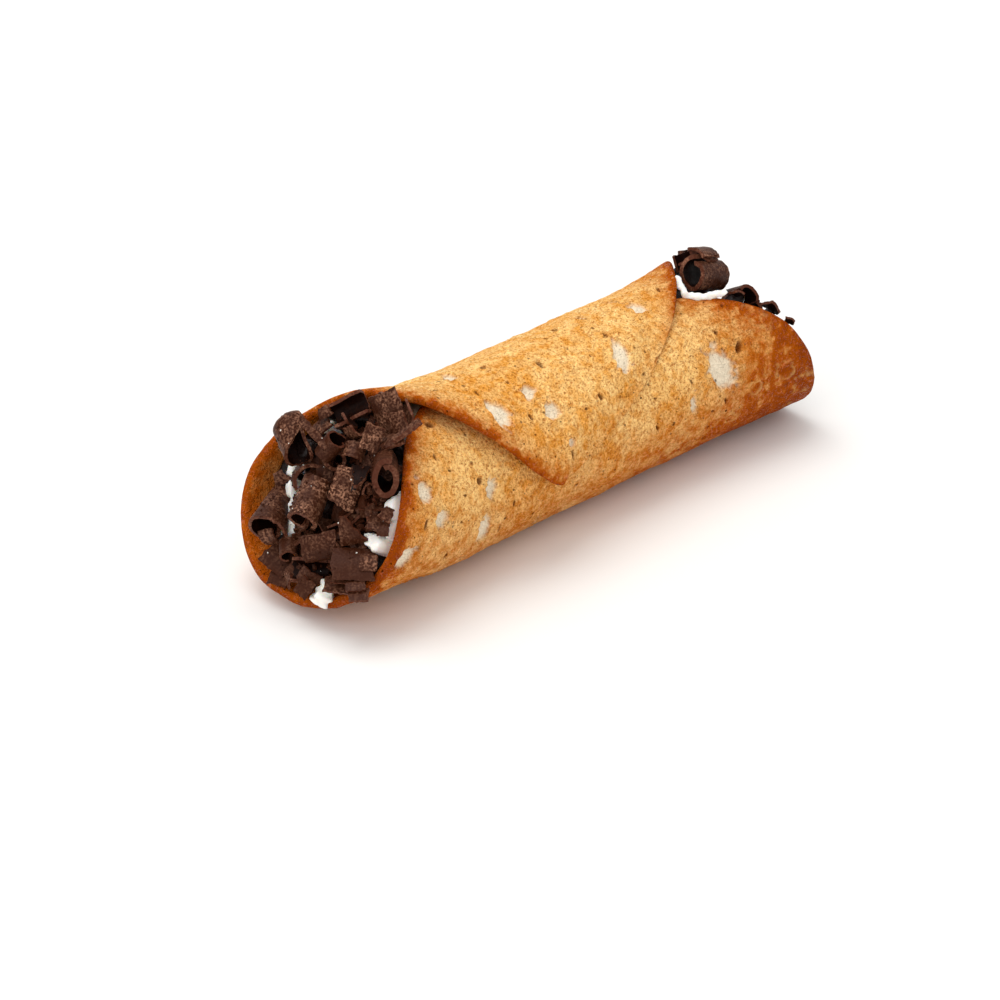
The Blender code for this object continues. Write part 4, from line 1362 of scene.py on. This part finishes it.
class CANNOLI_OT_crumbs(bpy.types.Operator):
    """Scatter chocolate crumbs over curls and cream"""

    bl_idname = "cannoli.crumbs"
    bl_label = "Crumbs"

    def execute(self, context):
        settings = context.scene.cannoli.chocolate
        offset = Matrix.Translation(frame_offset())
        draw = random.Random(CRUMB_SEED)
        crumbs, flecks = bmesh.new(), bmesh.new()
        for side in (-1, 1):
            mouth = offset @ mouth_frame(side)
            tree, owners = landing(side)
            for _ in range(settings.crumbs):
                across, up, _ = in_mouth(draw, side)
                landed = fall(tree, owners, mouth, across, up)
                if landed is None or landed[2] == "pastry":
                    continue
                place, normal, owner = landed
                spot = Matrix.Translation(place + 0.1 * MM * normal) @ turned_to(normal, draw, 0.3)
                if owner == "cream" and draw.random() < 0.7:
                    continue
                if owner != "cream" and draw.random() < 0.07:
                    add_crumb(flecks, spot, draw.uniform(0.2, 0.45) * MM, draw)
                else:
                    grade = 0.9 if owner == "cream" else 0.55
                    add_crumb(crumbs, spot, draw.uniform(0.3, grade) * MM, draw)
        for name, sheet, material, slot in (
                ("crumbs", crumbs, chocolate_faces(settings)[0], "dark_chocolate"),
                ("cream_flecks", flecks, bpy.data.materials["whipped_cream"], "whipped_cream")):
            bmesh.ops.recalc_face_normals(sheet, faces=sheet.faces)
            mesh = bpy.data.meshes.new(name)
            sheet.to_mesh(mesh)
            sheet.free()
            add_piece(name, mesh, [material], slot)
        return {"FINISHED"}


# ---------------------------------------------------------------- stage

class CANNOLI_OT_stage(bpy.types.Operator):
    """Put the cannoli on a pale floor under a soft overhead light"""

    bl_idname = "cannoli.stage"
    bl_label = "Stage"

    def execute(self, context):
        settings = context.scene.cannoli.stage
        scene = context.scene
        ground = bmesh.new()
        bmesh.ops.create_grid(ground, x_segments=1, y_segments=1, size=3.0)
        mesh = bpy.data.meshes.new("floor")
        ground.to_mesh(mesh)
        ground.free()
        floor = bpy.data.objects.new("floor", mesh)
        scene.collection.objects.link(floor)
        paper, _, shader, _ = start_material("pale_paper")
        shader.inputs["Base Color"].default_value = settings.floor
        shader.inputs["Roughness"].default_value = 0.8
        mesh.materials.append(paper)
        floor.location.z = -0.02 * MM
        for name, place, width, power in (("softbox", (-0.1, 0.24, 1.0), 0.8, settings.key),
                                          ("fill", (-0.85, -0.45, 0.75), 0.8, settings.fill)):
            lamp = bpy.data.lights.new(name, "AREA")
            lamp.energy = power
            lamp.size = width
            light = bpy.data.objects.new(name, lamp)
            light.location = place
            light.rotation_euler = (-Vector(place)).to_track_quat("-Z", "Y").to_euler()
            scene.collection.objects.link(light)
        room = bpy.data.worlds.new("room")
        room.use_nodes = True
        room.node_tree.nodes["Background"].inputs["Color"].default_value = (1.0, 1.0, 1.0, 1.0)
        room.node_tree.nodes["Background"].inputs["Strength"].default_value = settings.sky
        scene.world = room
        lens = bpy.data.cameras.new("camera")
        lens.lens = CAMERA_LENS
        lens.sensor_width = CAMERA_SENSOR
        camera = bpy.data.objects.new("camera", lens)
        camera.location = CAMERA_PLACE
        camera.rotation_euler = Vector(CAMERA_LOOK).to_track_quat("-Z", "Y").to_euler()
        scene.collection.objects.link(camera)
        scene.camera = camera
        scene.view_settings.view_transform = "Standard"
        return {"FINISHED"}


class CANNOLI_PT_panel(bpy.types.Panel):
    """Sidebar panel with the settings and the steps in order"""

    bl_idname = "CANNOLI_PT_panel"
    bl_label = "Cannoli"
    bl_space_type = "VIEW_3D"
    bl_region_type = "UI"
    bl_category = "Cannoli"

    def draw(self, context):
        for group in ("pastry", "cream", "chocolate", "stage"):
            box = self.layout.box()
            box.label(text=group.capitalize())
            settings = getattr(context.scene.cannoli, group)
            for name in settings.__annotations__:
                box.prop(settings, name)
        for step in STEPS:
            self.layout.operator(step.bl_idname)


STEPS = (
    CANNOLI_OT_pastry, CANNOLI_OT_cream, CANNOLI_OT_left_curls, CANNOLI_OT_right_curls,
    CANNOLI_OT_shavings, CANNOLI_OT_crumbs, CANNOLI_OT_stage,
)
CLASSES = (
    PastrySettings, CreamSettings, ChocolateSettings, StageSettings, CannoliSettings,
) + STEPS + (CANNOLI_PT_panel,)


def register():
    for cls in CLASSES:
        bpy.utils.register_class(cls)
    bpy.types.Scene.cannoli = PointerProperty(type=CannoliSettings)


def unregister():
    del bpy.types.Scene.cannoli
    for cls in reversed(CLASSES):
        bpy.utils.unregister_class(cls)


def main():
    register()
    bpy.ops.cannoli.pastry()
    bpy.ops.cannoli.cream()
    bpy.ops.cannoli.left_curls()
    bpy.ops.cannoli.right_curls()
    bpy.ops.cannoli.shavings()
    bpy.ops.cannoli.crumbs()
    bpy.ops.cannoli.stage()


if __name__ == "__main__":
    main()
